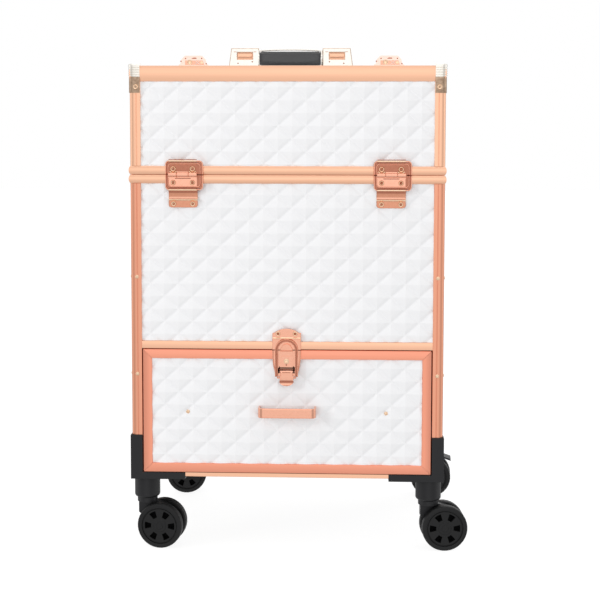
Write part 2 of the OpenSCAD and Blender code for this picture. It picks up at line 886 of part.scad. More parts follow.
// Shield on the drawer front with the lever's ears, its pin and the key plate
module drawer_latch_base() {
    z1 = drawer_z1;
    color(deep_rose) {
        slab_y(drawer_face - shield_t, drawer_face) shield_outline(z1);
        slab_y(drawer_face, drawer_face + panel_inset)
            translate([-10, z1 - 27]) square([20, 27 - frame_w - 0.2]);
        for (i = [-1, 1]) slab_x(i * (ear_x + ear_t / 2) - ear_t / 2, i * (ear_x + ear_t / 2) + ear_t / 2) {
            translate([drawer_face - shield_t - 2.3, lever_z - 2]) square([3, 4]);
            translate([-lever_y, lever_z]) circle(r = 2);
        }
        translate([0, -lever_y, lever_z]) rod_x(lever_pin_r, -ear_x - 0.5, ear_x + 0.5);
        difference() {
            translate([-7, drawer_face - shield_t - 4.6, lever_z + 4]) cube([14, 5, 18]);
            translate([0, drawer_face - shield_t - 4, lever_z + 13]) rotate([90, 0, 0]) cylinder(r = 2, h = 3);
            translate([-0.6, drawer_face - shield_t - 5.6, lever_z + 7]) cube([1.2, 1.6, 6]);
        }
    }
}

module shield_outline(z1) {
    intersection() {
        translate([-shield_w / 2, z1 - 28]) square([shield_w, 28]);
        translate([0, z1 - 28 + 22]) circle(r = 22);
    }
}

// Finger tab with a rolled knuckle, cheeks for the loop's pins and a tapering tip
module drawer_latch_lever() {
    color(rose) difference() {
        union() {
            translate([0, -lever_y, lever_z]) rod_x(1.9, -ear_x + 0.2, ear_x - 0.2);
            slab_y(-lever_y - 1.9, -lever_y - 0.2) polygon([
                [-7.4, lever_z], [7.4, lever_z], [7.4, lever_z - 10.5], [4, lever_z - 15],
                [-4, lever_z - 15], [-7.4, lever_z - 10.5]
            ]);
            translate([-7.4, -lever_y - 1.9, lever_z - loop_drop - 2.4]) cube([14.8, 3.6, 4.8]);
        }
        translate([0, -lever_y, lever_z]) rod_x(lever_pin_r + fit_gap, -ear_x - 1, ear_x + 1);
        translate([0, -lever_y, lever_z - loop_drop]) {
            rod_x(loop_pin_r + fit_gap, 4, 9);
            rod_x(loop_pin_r + fit_gap, -9, -4);
        }
    }
}

// Arched loop, its legs pinned to the lever's cheeks
module drawer_latch_loop() {
    z0 = lever_z - loop_drop;
    z1 = cross_z0;
    color(rose) {
        slab_y(-loop_y0 - 2.4, -loop_y0) difference() {
            union() {
                translate([-loop_out, z0 - 1.8]) square([2 * loop_out, z1 - z0 + 1.8]);
                translate([0, z1]) circle(r = loop_out);
            }
            translate([-loop_in, z0 - 3]) square([2 * loop_in, z1 - z0 + 3]);
            translate([0, z1]) circle(r = loop_in);
        }
        both_sides() translate([0, -lever_y, z0]) rod_x(loop_pin_r, 4.3, loop_in + 0.5);
    }
}

// ---------- trolley handle ----------

module tube(w, d, z0, z1) {
    difference() {
        translate([-w / 2, -d / 2, z0]) cube([w, d, z1 - z0]);
        translate([-w / 2 + tube_wall, -d / 2 + tube_wall, z0 - 1])
            cube([w - 2 * tube_wall, d - 2 * tube_wall, z1 - z0 + 2]);
    }
}

module at_tubes() {
    for (i = [-1, 1]) translate([i * tube_x, tube_y, 0]) children();
}

module trolley_outer_tubes() {
    color(black_plastic) {
        at_tubes() tube(tube_w, tube_d, tube_z0, outer_top);
        for (z = [tube_z0, outer_top - 40]) at_tubes() {
            translate([-tube_w / 2 - 6, wall_y + board - tube_y, z])
                cube([tube_w + 12, tube_y - tube_d / 2 - wall_y - board, 40]);
        }
        translate([-tube_x, wall_y + board, tube_z0 + 8]) cube([trolley_span, 4, 24]);
        translate([-tube_x, wall_y + board, outer_top - 32]) cube([trolley_span, 4, 24]);
    }
}

module trolley_middle_tubes() {
    color(steel) at_tubes() tube(mid_w, mid_d, tube_z0 + 4, outer_top + stage_lip);
}

module trolley_inner_tubes() {
    color(steel) at_tubes() translate([-in_w / 2, -in_d / 2, tube_z0 + 8])
        cube([in_w, in_d, outer_top + 2 * stage_lip - tube_z0 - 8]);
}

button_w = 26;
button_d = 9;

module trolley_grip() {
    z0 = outer_top + 2 * stage_lip;
    color(black_plastic) translate([0, tube_y, z0]) difference() {
        soft_block(trolley_span + tube_w + 8, tube_d + 6, trolley_grip_h, 6);
        translate([0, 0, trolley_grip_h - 8]) soft_block(button_w + 2 * run_gap, button_d + 2 * run_gap, 9, 3);
    }
}

module trolley_button() {
    z0 = outer_top + 2 * stage_lip + trolley_grip_h - 8;
    color(steel) translate([0, tube_y, z0 + 4]) soft_block(button_w, button_d, 5.5, 3);
}

// ---------- casters, drawn round a swivel at the origin and trailing towards +X ----------

// Rest angle of each caster about its swivel
front_left_turn = -7;
front_right_turn = 5;
rear_left_turn = 4;
rear_right_turn = -4;

module caster_fork(brake = false) {
    collar_z = 2 * wheel_r - 0.5;
    color(black_plastic) {
        if (brake) {
            slab_y(-2, 2) translate([brake_x - 2, collar_z - 2]) square([4, 4.9]);
            translate([brake_x, 0, collar_z + 1.6]) rotate([90, 0, 0])
                cylinder(r = brake_pin_r, h = 16, center = true);
        }
        translate([0, 0, collar_z]) cylinder(r = 11, h = socket_z0 - run_gap - collar_z);
        translate([0, 0, socket_z0 - run_gap - 1]) cylinder(r = stem_r, h = stem_l + 1);
        slab_y(-fork_half, fork_half) {
            translate([trail, wheel_r]) circle(r = 10);
            polygon([[-9, collar_z + 1], [-9, wheel_r + 12], [trail - 8, wheel_r - 6],
                [trail + 9.4, wheel_r + 3], [trail + 4, collar_z - 2], [9, collar_z + 1]]);
        }
        translate([trail, 0, wheel_r]) rotate([90, 0, 0])
            cylinder(r = axle_r, h = 2 * (wheel_in + wheel_w - 2.5), center = true);
    }
}

// One wheel: tyre, recessed face and six tapered openings round a hub
module one_wheel() {
    face = 1.2;
    difference() {
        cylinder(r = wheel_r, h = wheel_w, $fn = 72);
        translate([0, 0, wheel_w - face]) difference() {
            cylinder(r = wheel_r - 4.5, h = face + 1);
            translate([0, 0, -1]) cylinder(r = wheel_r - 5.5, h = face + 3);
        }
        for (k = [0:5]) rotate([0, 0, 60 * k]) translate([0, 0, -1]) linear_extrude(wheel_w + 2)
            polygon([[9.5, -2], [9.5, 2], [15.5, 3.6], [16.3, 0], [15.5, -3.6]]);
        translate([0, 0, -1]) cylinder(r = axle_r + fit_gap, h = wheel_w - 1.2);
    }
}

module caster_wheels() {
    color(black_plastic) translate([trail, 0, wheel_r]) for (i = [0, 1]) mirror([0, i, 0])
        translate([0, -wheel_in, 0]) rotate([90, 0, 0]) one_wheel();
}

// Pedal pinned over the fork, above the wheels
module brake_lever() {
    collar_z = 2 * wheel_r - 0.5;
    color(black_plastic) difference() {
        slab_y(-9, 9) polygon([
            [12.5, collar_z + 0.3], [12.5, collar_z + 3.6], [24, collar_z + 3.8], [42, wheel_r + 22.5],
            [42.5, wheel_r + 20], [24, collar_z + 1.7]
        ]);
        translate([brake_x, 0, collar_z + 1.6]) rotate([90, 0, 0])
            cylinder(r = brake_pin_r + fit_gap, h = 20, center = true);
        translate([11, -2.3, collar_z - 1]) cube([brake_x - 7.5, 4.6, 6]);
    }
}

module at_caster(i, j, turn) {
    translate([i * swivel_x, j * swivel_y, 0]) rotate([0, 0, turn]) children();
}

module front_left_fork() at_caster(-1, -1, front_left_turn) caster_fork();
module front_right_fork() at_caster(1, -1, front_right_turn) caster_fork();
module rear_left_fork() at_caster(-1, 1, rear_left_turn) caster_fork(true);
module rear_right_fork() at_caster(1, 1, rear_right_turn) caster_fork(true);
module front_left_wheels() at_caster(-1, -1, front_left_turn) caster_wheels();
module front_right_wheels() at_caster(1, -1, front_right_turn) caster_wheels();
module rear_left_wheels() at_caster(-1, 1, rear_left_turn) caster_wheels();
module rear_right_wheels() at_caster(1, 1, rear_right_turn) caster_wheels();
module rear_left_brake() at_caster(-1, 1, rear_left_turn) brake_lever();
module rear_right_brake() at_caster(1, 1, rear_right_turn) brake_lever();

floor_boards();
side_panels();
back_panel();
front_panel();
corner_posts();
rim_rails();
cross_rails();
foot_brackets();
drawer_runners();
body_screws();
lower_hinge_leaves();
drawer_latch_catch();
trolley_outer_tubes();
arm_brackets();
front_lid_panels();
front_lid_frame();
front_lid_corners();
front_hinge_leaves();
top_latch_bases();
handle_mounts();
rear_lid_panels();
rear_lid_frame();
rear_lid_corners();
rear_hinge_leaves();
top_latch_catches();
front_lower_tray();
front_upper_tray();
rear_lower_tray();
rear_upper_tray();
front_outer_arms();
front_inner_arms();
rear_outer_arms();
rear_inner_arms();
drawer_front_panel();
drawer_front_frame();
drawer_box();
drawer_pull();
drawer_slides();
drawer_screws();
drawer_latch_base();
drawer_latch_lever();
drawer_latch_loop();
left_top_latch();
right_top_latch();
handle_bail();
handle_grip();
trolley_middle_tubes();
trolley_inner_tubes();
trolley_grip();
trolley_button();
front_left_fork();
front_right_fork();
rear_left_fork();
rear_right_fork();
front_left_wheels();
front_right_wheels();
rear_left_wheels();
rear_right_wheels();
rear_left_brake();
rear_right_brake();
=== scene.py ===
"""Looks of a rolling makeup train case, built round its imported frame.

White diamond-embossed boards sit in rose gold anodised aluminium edging. The fittings are plated
steel, the feet, forks and trolley grip are moulded nylon, and the inside is flocked. All sizes in
the classes are millimetres, in the frame's own axes: +Z up and the case's front towards -Y.
"""

from __future__ import annotations

import logging
import math
from dataclasses import dataclass, field
from enum import Enum
from typing import Any, Iterable, Sequence

import bmesh
import bpy
from mathutils import Matrix, Vector


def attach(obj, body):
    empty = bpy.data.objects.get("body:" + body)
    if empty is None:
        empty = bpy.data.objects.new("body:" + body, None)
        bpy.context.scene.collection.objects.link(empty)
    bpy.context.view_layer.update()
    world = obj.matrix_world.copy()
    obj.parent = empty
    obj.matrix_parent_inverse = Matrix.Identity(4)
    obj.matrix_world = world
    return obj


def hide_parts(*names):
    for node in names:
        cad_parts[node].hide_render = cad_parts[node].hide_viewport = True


LOG = logging.getLogger("train_case")
MM = 0.001
RUN_UV = "run"
# Vertices nearer than this, in metres, are one
WELD = 2e-6
# The studio's height of aim, in metres: the middle of the case
AIM = 0.27
# Rounding of the screw heads' edges, in millimetres
SCREW_EDGE = 0.15

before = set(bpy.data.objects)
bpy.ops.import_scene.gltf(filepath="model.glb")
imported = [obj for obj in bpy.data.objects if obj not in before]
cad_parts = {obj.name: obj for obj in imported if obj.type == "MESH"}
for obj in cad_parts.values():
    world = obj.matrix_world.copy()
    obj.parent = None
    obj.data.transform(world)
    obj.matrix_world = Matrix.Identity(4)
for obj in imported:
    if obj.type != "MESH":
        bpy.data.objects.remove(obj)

Point = tuple[float, float, float]
Flat = tuple[float, float]
BMesh = bmesh.types.BMesh
BMVert = bmesh.types.BMVert
Piece = bpy.types.Object


# ---------- finishes ----------


def linear(colour: str) -> tuple[float, float, float, float]:
    """Turns an sRGB hex colour into linear RGBA.

    Args:
        colour: The colour, such as "#F2A88A".

    Returns:
        Linear red, green and blue, and an alpha of one.
    """
    parts = [int(colour[i : i + 2], 16) / 255 for i in (1, 3, 5)]
    red, green, blue = (c / 12.92 if c <= 0.04045 else ((c + 0.055) / 1.055) ** 2.4 for c in parts)
    return red, green, blue, 1.0


def add_node(
    tree: bpy.types.NodeTree, kind: str, inputs: dict[Any, Any] | None = None, **settings: Any
) -> bpy.types.Node:
    """Adds a node, sets its properties and fills or links its inputs.

    Args:
        tree: The node tree that gets the node.
        kind: The node's type name.
        inputs: Values or output sockets, by the input's name or number.
        **settings: Properties of the node itself.

    Returns:
        The new node.
    """
    node = tree.nodes.new(kind)
    for name, value in settings.items():
        setattr(node, name, value)
    for key, value in (inputs or {}).items():
        if isinstance(value, bpy.types.NodeSocket):
            tree.links.new(value, node.inputs[key])
        else:
            node.inputs[key].default_value = value
    return node


class Grain(Enum):
    """Which way a finish's pattern lies on a piece."""

    ALONG = "along the extrusion, by the piece's own run"
    ACROSS_X = "lines along X"
    EVEN = "the same all ways"


@dataclass(frozen=True)
class Finish:
    """A real surface: what it is made of and how it was made.

    Attributes:
        title: The material's name, for its substance and process.
        colour: Its main colour.
        shade: The second colour that its pattern drifts to.
        roughness: Middle of its roughness.
        spread: How far the pattern moves the roughness each way.
        metallic: One for bare or anodised metal.
        pattern: Pattern size across the grain, in millimetres.
        run: Pattern size along the grain, in millimetres.
        relief: Height of the pattern's bump, in millimetres.
        coat: Weight of the clear layer on top.
        sheen: Weight of the fibre sheen.
        ior: Index of refraction, for what isn't metal.
        specular: Level of the surface reflection; a half is what the index gives.
        grain: Which way the pattern lies.
    """

    title: str
    colour: str
    shade: str
    roughness: float
    spread: float = 0.05
    metallic: float = 0.0
    pattern: float = 0.8
    run: float = 0.8
    relief: float = 0.01
    coat: float = 0.0
    sheen: float = 0.0
    ior: float = 1.5
    specular: float = 0.5
    grain: Grain = Grain.EVEN

    def material(self) -> bpy.types.Material:
        """Makes the material of this finish, the first time it is asked for.

        Returns:
            The material, the same one each time.
        """
        found = bpy.data.materials.get(self.title)
        if found:
            return found
        made = bpy.data.materials.new(self.title)
        made.use_nodes = True
        tree = made.node_tree
        tree.nodes.clear()
        noise = self._pattern(tree)
        value = noise.outputs["Fac"]
        tone = add_node(
            tree, "ShaderNodeMix", {0: value, 6: linear(self.colour), 7: linear(self.shade)},
            data_type="RGBA",
        )
        rough = add_node(
            tree, "ShaderNodeMapRange",
            {"Value": value, "To Min": self.roughness - self.spread, "To Max": self.roughness + self.spread},
        )
        bump = add_node(
            tree, "ShaderNodeBump", {"Strength": 1.0, "Distance": self.relief * MM, "Height": value}
        )
        inputs: dict[Any, Any] = {
            "Base Color": tone.outputs[2], "Roughness": rough.outputs[0], "Normal": bump.outputs[0],
            "Metallic": self.metallic, "Coat Weight": self.coat, "Sheen Weight": self.sheen,
            "Specular IOR Level": self.specular,
        }
        if not self.metallic:
            inputs["IOR"] = self.ior
        shader = add_node(tree, "ShaderNodeBsdfPrincipled", inputs)
        add_node(tree, "ShaderNodeOutputMaterial", {"Surface": shader.outputs[0]})
        return made

    def _pattern(self, tree: bpy.types.NodeTree) -> bpy.types.Node:
        """Adds the noise that drives colour, roughness and bump, at its real size.

        Args:
            tree: The material's node tree.

        Returns:
            The noise node.
        """
        across, along = 1 / (self.pattern * MM), 1 / (self.run * MM)
        if self.grain is Grain.ALONG:
            place = add_node(tree, "ShaderNodeUVMap", uv_map=RUN_UV)
            scale = (along, across, across)
        else:
            place = add_node(tree, "ShaderNodeTexCoord")
            scale = (along if self.grain is Grain.ACROSS_X else across, across, across)
        source = place.outputs["UV" if self.grain is Grain.ALONG else "Object"]
        sized = add_node(tree, "ShaderNodeMapping", {"Vector": source, "Scale": scale})
        return add_node(
            tree, "ShaderNodeTexNoise",
            {"Vector": sized.outputs[0], "Scale": 1.0, "Detail": 3.0, "Roughness": 0.6},
        )


# Extruded aluminium, anodised rose gold: satin, with faint die lines along its length. Real lines
# are 0.1 to 0.3 mm apart; they are drawn at 0.7 mm so that they show
EDGING = Finish(
    "anodised_aluminium_rose_gold", "#FBC8A8", "#F8BF9E", 0.3, 0.04, 1.0,
    pattern=0.7, run=90, relief=0.004, grain=Grain.ALONG,
)
# The same extrusion painted a little darker on the body's upright posts: painted shade
POST_EDGING_PAINTED_SHADE = Finish(
    "anodised_aluminium_rose_gold_painted_shade", "#EFAB8D", "#E89F82", 0.3, 0.04, 1.0,
    pattern=0.7, run=90, relief=0.004, grain=Grain.ALONG,
)
# The same extrusion in a redder dye, on the drawer's frame
DRAWER_EDGING = Finish(
    "anodised_aluminium_salmon", "#FDAC90", "#FAA588", 0.42, 0.04, 1.0,
    pattern=0.7, run=90, relief=0.004, grain=Grain.ALONG,
)
# Pressed steel with polished rose gold plating: mirror-like, with soft waviness from the press,
# a few millimetres from crest to crest
PLATE = Finish(
    "plated_steel_rose_gold", "#F3B89F", "#EAA98E", 0.13, 0.04, 1.0, pattern=3.0, run=3.0, relief=0.008,
)
# The same plating painted darker, redder and a little rougher: painted shade in recesses, grooves, slots and
# creases
PLATE_PAINTED_SHADE = Finish(
    "plated_steel_rose_gold_painted_shade", "#C08068", "#A86A55", 0.26, 0.06, 1.0, pattern=2.0, run=2.0, relief=0.01,
)
# The same plating painted a little darker on the hinges' tabs, which are pressed a little inward: painted
# shade for the darker floor they face
PLATE_PAINTED_DIM = Finish(
    "plated_steel_rose_gold_painted_dim", "#DB9C80", "#CC8A6D", 0.18, 0.05, 1.0, pattern=2.4, run=2.4, relief=0.008,
)
# A dark strip behind the latch's tab, in near-black metal: painted shadow of the gap, which frames the tab
# with a thin dark line
SHADOW_GAP_PAINT = Finish(
    "painted_shadow_gap_black", "#2A2221", "#1E1817", 0.35, 0.05, 1.0, pattern=2.0, run=2.0, relief=0.006,
)
# The rose gold plating in a thin coat on the small top latches: the nickel under it pales it
PALE_PLATE = Finish(
    "plated_steel_pale_rose", "#F8DDD0", "#F0CDBD", 0.16, 0.04, 1.0, pattern=3.0, run=3.0, relief=0.008,
)
# Pressed steel with champagne plating: nearly white, drifting at random to a slightly darker, warmer tint
CHAMPAGNE = Finish(
    "plated_steel_champagne", "#F3EFE8", "#EBE5DB", 0.18, 0.05, 1.0, pattern=3.0, run=3.0, relief=0.006,
)
# Bronze plating on the caps' lower halves, with blotches of brown a few millimetres wide and bright metal
# between: painted light and shade of the crumpled pressing. The same finish paints shade on the handle
# mounts' edge bands and window walls
BRONZE_AND_PAINTED_SHADE = Finish(
    "plated_steel_bronze_and_painted_shade", "#E8CBB0", "#74553F", 0.34, 0.1, 1.0, pattern=4.2, run=4.2, relief=0.05,
)
# Embossed vinyl film on board: white and satin. Its pressed grain is 0.2 to 0.4 mm; it is drawn at
# 0.9 mm so that it shows
VINYL = Finish(
    "embossed_vinyl_white", "#F4F4F5", "#EFEFF1", 0.4, 0.05, pattern=0.9, run=0.9, relief=0.006, coat=0.12,
    ior=1.53,
)
# Flocked lining: short dense fibres, so it is dark, dull and lit along its edges. Tufts of the
# fibres show, not the fibres, which are 0.03 mm thick
FLOCK = Finish(
    "flocked_lining_black", "#333336", "#26262A", 0.92, 0.05, pattern=1.2, run=1.2, relief=0.12, sheen=0.5,
)
# Moulded glass-filled nylon: near black and satin, with the mould's spark texture. Its real grain
# is 0.1 mm; it is drawn at 0.7 mm so that it shows
NYLON = Finish(
    "moulded_nylon_black", "#212123", "#1A1A1C", 0.42, 0.06, pattern=0.7, run=0.7, relief=0.02, specular=0.3,
)
# Moulded thermoplastic rubber tread: black and dull, with dust-fine pits drawn at 1 mm
TYRE = Finish(
    "moulded_rubber_black", "#171718", "#111112", 0.5, 0.08, pattern=1.0, run=1.0, relief=0.03, specular=0.3,
)
# The same rubber painted darker and duller on the floors of the wheels' openings: painted shade
TYRE_PAINTED_SHADE = Finish(
    "moulded_rubber_painted_shade", "#0C0C0D", "#080809", 0.8, 0.05, pattern=1.0, run=1.0, relief=0.02,
    specular=0.1,
)
# Moulded and polished ABS grip: black with a clear, sharp reflection that the moulding's slow waves bend
GRIP = Finish(
    "moulded_abs_gloss_black", "#272729", "#222224", 0.22, 0.04, pattern=4.0, run=4.0, relief=0.004, coat=0.5,
)
# Cold-rolled steel with bright zinc: grey, with rolling lines along X
ZINC = Finish(
    "zinc_plated_steel_bright", "#C6C7CA", "#B4B5BA", 0.3, 0.08, 1.0,
    pattern=0.6, run=20, relief=0.004, grain=Grain.ACROSS_X,
)
# Screw and rivet heads, turned and plated pale gold: small bright glints on the edging. The same pale metal
# paints highlights on the hinges' lips, beads and crescents and on the latch catch's fold line
SCREW_AND_PAINTED_HIGHLIGHT = Finish(
    "plated_steel_pale_gold_and_painted_highlight", "#FBDDBF", "#F0C6A2", 0.12, 0.04, 1.0, pattern=2.0, run=2.0, relief=0.004,
)


# ---------- making pieces ----------


def finish_piece(
    mesh: BMesh, name: str, body: str, finishes: Sequence[Finish],
    nodes: Sequence[str] = (), smooth_angle: float = 32.0, edge: Flat | None = None,
) -> Piece:
    """Turns a bmesh in millimetres into a piece that rides on a body.

    Args:
        mesh: The shape, in millimetres; it is freed.
        name: The piece's name.
        body: The body that it rides on.
        finishes: Its finishes, in the order of its material indices.
        nodes: The CAD nodes that it stands for.
        smooth_angle: Edges sharper than this many degrees stay crisp.
        edge: Width and least angle of the rounding of its edges, if they are rounded.

    Returns:
        The new object.
    """
    bmesh.ops.recalc_face_normals(mesh, faces=mesh.faces)
    bmesh.ops.scale(mesh, vec=(MM, MM, MM), verts=mesh.verts)
    for face in mesh.faces:
        face.smooth = True
    data = bpy.data.meshes.new(name)
    mesh.to_mesh(data)
    mesh.free()
    data.set_sharp_from_angle(angle=math.radians(smooth_angle))
    for one in finishes:
        data.materials.append(one.material())
    piece = bpy.data.objects.new(name, data)
    bpy.context.scene.collection.objects.link(piece)
    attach(piece, body)
    if nodes:
        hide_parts(*nodes)
    if edge:
        soften(piece, *edge)
    return piece


def soften(piece: Piece, width: float, angle: float = 30.0, segments: int = 2) -> None:
    """Rounds a piece's edges a little and evens out its shading.

    Args:
        piece: The object that gets the modifiers.
        width: The rounding's width, in millimetres.
        angle: Only edges sharper than this many degrees are rounded.
        segments: Steps in the rounding.
    """
    bevel = piece.modifiers.new("edge", "BEVEL")
    bevel.width, bevel.segments = width * MM, segments
    bevel.limit_method, bevel.angle_limit = "ANGLE", math.radians(angle)
    normals = piece.modifiers.new("normals", "WEIGHTED_NORMAL")
    normals.keep_sharp = False


def dress(node: str, finish: Finish, width: float = 0.3, angle: float = 30.0) -> Piece:
    """Gives a CAD node its finish and softened edges.

    Args:
        node: The node's name.
        finish: What it is made of.
        width: The rounding of its edges, in millimetres.
        angle: Only edges sharper than this many degrees are rounded.

    Returns:
        The node's object.
    """
    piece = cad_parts[node]
    piece.data.materials.clear()
    piece.data.materials.append(finish.material())
    piece.data.polygons.foreach_set("use_smooth", [True] * len(piece.data.polygons))
    weld = piece.modifiers.new("join", "WELD")
    weld.merge_threshold = WELD
    flat = piece.modifiers.new("flats", "DECIMATE")
    flat.decimate_type, flat.angle_limit = "DISSOLVE", math.radians(0.5)
    if width:
        soften(piece, width, angle)
    return piece


def bulged(
    depth: float, height: float, bulge: float = 1.6, steps: int = 10, fillet: float = 0.5
) -> list[Flat]:
    """Section of an edging rail with a bulging face.

    Args:
        depth: From the face back, in millimetres.
        height: Height of the face.
        bulge: How far the middle of the face stands out.
        steps: Steps of the face's arc.
        fillet: Rounding at the face's two edges.

    Returns:
        Points of (depth, height), anticlockwise from the back's foot.
    """
    radius = (height * height / 4 + bulge * bulge) / (2 * bulge)
    points = [(depth, 0.0), (bulge + fillet, 0.0)]
    for i in range(steps + 1):
        h = fillet * 0.6 + (height - 1.2 * fillet) * i / steps
        points.append((radius - math.sqrt(radius**2 - (h - height / 2) ** 2), h))
    return points + [(bulge + fillet, height), (depth, height)]


def add_face(mesh: BMesh, corners: Sequence[BMVert], index: int = 0) -> None:
    """Adds a face with the finish that has an index."""
    mesh.faces.new(corners).material_index = index


def join_rings(
    mesh: BMesh, rings: Sequence[Sequence[BMVert]], index: int | Sequence[int] = 0
) -> None:
    """Joins closed rings of vertices, each to the next, and closes the first and the last.

    Args:
        mesh: The mesh that gets the faces.
        rings: The rings, each with as many vertices as the others.
        index: Which finish they get, or one for the first end, each step and the last end.
    """
    each = [index] * (len(rings) + 1) if isinstance(index, int) else index
    for one, two, number in zip(rings, rings[1:], each[1:]):
        for k in range(len(one)):
            n = (k + 1) % len(one)
            add_face(mesh, (one[k], one[n], two[n], two[k]), number)
    add_face(mesh, rings[0], each[0])
    add_face(mesh, rings[-1], each[-1])


def plate(
    mesh: BMesh, outline: Sequence[Flat], low: float, high: float, centre: Flat = (0.0, 0.0),
    rear: bool = False, index: int = 0,
) -> None:
    """Adds a plate whose outline is drawn in X and Z, between two distances in front of the middle plane.

    Args:
        mesh: The mesh that gets it.
        outline: Points of (x, z) from the centre.
        low: Distance of its back face towards the front.
        high: Distance of its front face.
        centre: Where the outline's own origin lies.
        rear: Whether it stands on the back instead.
        index: Which finish it gets.
    """
    side = 1 if rear else -1
    join_rings(mesh, [
        [mesh.verts.new((centre[0] + x, side * out, centre[1] + z)) for x, z in outline]
        for out in (low, high)
    ], index)


def side_plate(
    mesh: BMesh, outline: Sequence[Flat], ends: Flat, centre: Flat = (0.0, 0.0)
) -> None:
    """Adds a plate whose outline is drawn in Y and Z, between two places along X.

    Args:
        mesh: The mesh that gets it.
        outline: Points of (y, z) from the centre.
        ends: X of its two faces.
        centre: Y and Z of the outline's own origin.
    """
    join_rings(mesh, [[mesh.verts.new((x, centre[0] + y, centre[1] + z)) for y, z in outline] for x in ends])


def lathe(
    mesh: BMesh, profile: Sequence[Flat], centre: Point, axis: Point, steps: int = 24,
    index: int = 0,
) -> None:
    """Adds a turned shape.

    Args:
        mesh: The mesh that gets it.
        profile: Points of (radius, distance along the axis); a zero radius closes an end.
        centre: Where the axis starts.
        axis: Unit direction of the axis.
        steps: Steps round the axis.
        index: Which finish it gets.
    """
    turn = Vector(axis).to_track_quat("Z", "Y").to_matrix()
    rings: list[list[BMVert]] = []
    for radius, along in profile:
        count = steps if radius > 1e-6 else 1
        rings.append([
            mesh.verts.new(Vector(centre) + turn @ Vector((
                radius * math.cos(math.tau * k / steps), radius * math.sin(math.tau * k / steps), along
            )))
            for k in range(count)
        ])
    for one, two in zip(rings, rings[1:]):
        for k in range(steps):
            n = (k + 1) % steps
            corners = [one[k % len(one)], one[n % len(one)], two[n % len(two)], two[k % len(two)]]
            add_face(mesh, list(dict.fromkeys(corners)), index)
    for ring in (rings[0], rings[-1]):
        if len(ring) > 1:
            add_face(mesh, ring, index)


def rivet(
    mesh: BMesh, x: float, z: float, out: float, radius: float, height: float,
    rear: bool = False, index: int = 0, shank_shade: int = 1,
) -> None:
    """Adds a rivet with a domed head that faces front, or back on the rear.

    Args:
        mesh: The mesh that gets it.
        x: Its place along X.
        z: Its height.
        out: Distance of the head's foot from the middle plane.
        radius: Radius of the head.
        height: Height of the head.
        rear: Whether it faces back.
        index: Which finish its head gets.
        shank_shade: Which finish the end of its shank gets: a darker one, painted shade in the head's dish.
    """
    side = 1 if rear else -1
    profile = [
        (radius, -0.6), (radius, 0.3 * height), (0.92 * radius, 0.75 * height), (0.74 * radius, height),
        (0.56 * radius, 0.82 * height), (0.4 * radius, 0.45 * height), (0.0, 0.3 * height),
    ]
    lathe(mesh, profile, (x, side * out, z), (0, side, 0), 24, index)
    # the end of the shank in the head's dish, off centre and in a darker finish: painted shade
    lathe(
        mesh, [(0.36 * radius, 0.2 * height), (0.36 * radius, 0.72 * height), (0.0, 0.8 * height)],
        (x + 0.16 * radius, side * out, z - 0.1 * radius), (0, side, 0), 12, shank_shade,
    )


def bar(
    mesh: BMesh, path: Sequence[Point], wide: float, deep: float,
    depth_axis: Point = (0.0, 1.0, 0.0), steps: int = 12, power: float = 2.6, index: int = 0,
) -> None:
    """Adds a bar with a softly squared section along a path that lies in one plane.

    Args:
        mesh: The mesh that gets it.
        path: Points of its middle line.
        wide: Section across the path in its plane.
        deep: Section along depth_axis.
        depth_axis: Unit normal of the path's plane.
        steps: Points round the section.
        power: Two for an ellipse; higher is squarer.
        index: Which finish it gets.
    """
    points = [Vector(p) for p in path]
    normal = Vector(depth_axis)
    rings = []
    for i, point in enumerate(points):
        before, after = points[max(i - 1, 0)], points[min(i + 1, len(points) - 1)]
        ahead = (after - before).normalized()
        side = ahead.cross(normal).normalized()
        into = (point - before).normalized() if i else ahead
        stretch = 1 / max(0.5, into.dot(ahead))
        ring = []
        for k in range(steps):
            turn = math.tau * (k + 0.5) / steps
            c, s = math.cos(turn), math.sin(turn)
            u = math.copysign(abs(c) ** (2 / power), c) * wide / 2 * stretch
            v = math.copysign(abs(s) ** (2 / power), s) * deep / 2
            ring.append(mesh.verts.new(point + side * u + normal * v))
        rings.append(ring)
    join_rings(mesh, rings, index)


def arc(centre: Flat, radius: float, start: float, end: float, steps: int = 8) -> list[Flat]:
    """Draws an arc.

    Args:
        centre: Its centre.
        radius: Its radius.
        start: Angle of its first point, in degrees from the first axis.
        end: Angle of its last point.
        steps: Steps along it.

    Returns:
        Its points, both ends included.
    """
    turns = [math.radians(start + (end - start) * i / steps) for i in range(steps + 1)]
    return [(centre[0] + radius * math.cos(t), centre[1] + radius * math.sin(t)) for t in turns]


def both_sides(half: Sequence[Flat]) -> list[Flat]:
    """Closes the right half of an outline with its mirror image."""
    return [*half, *((-x, z) for x, z in reversed(half))]


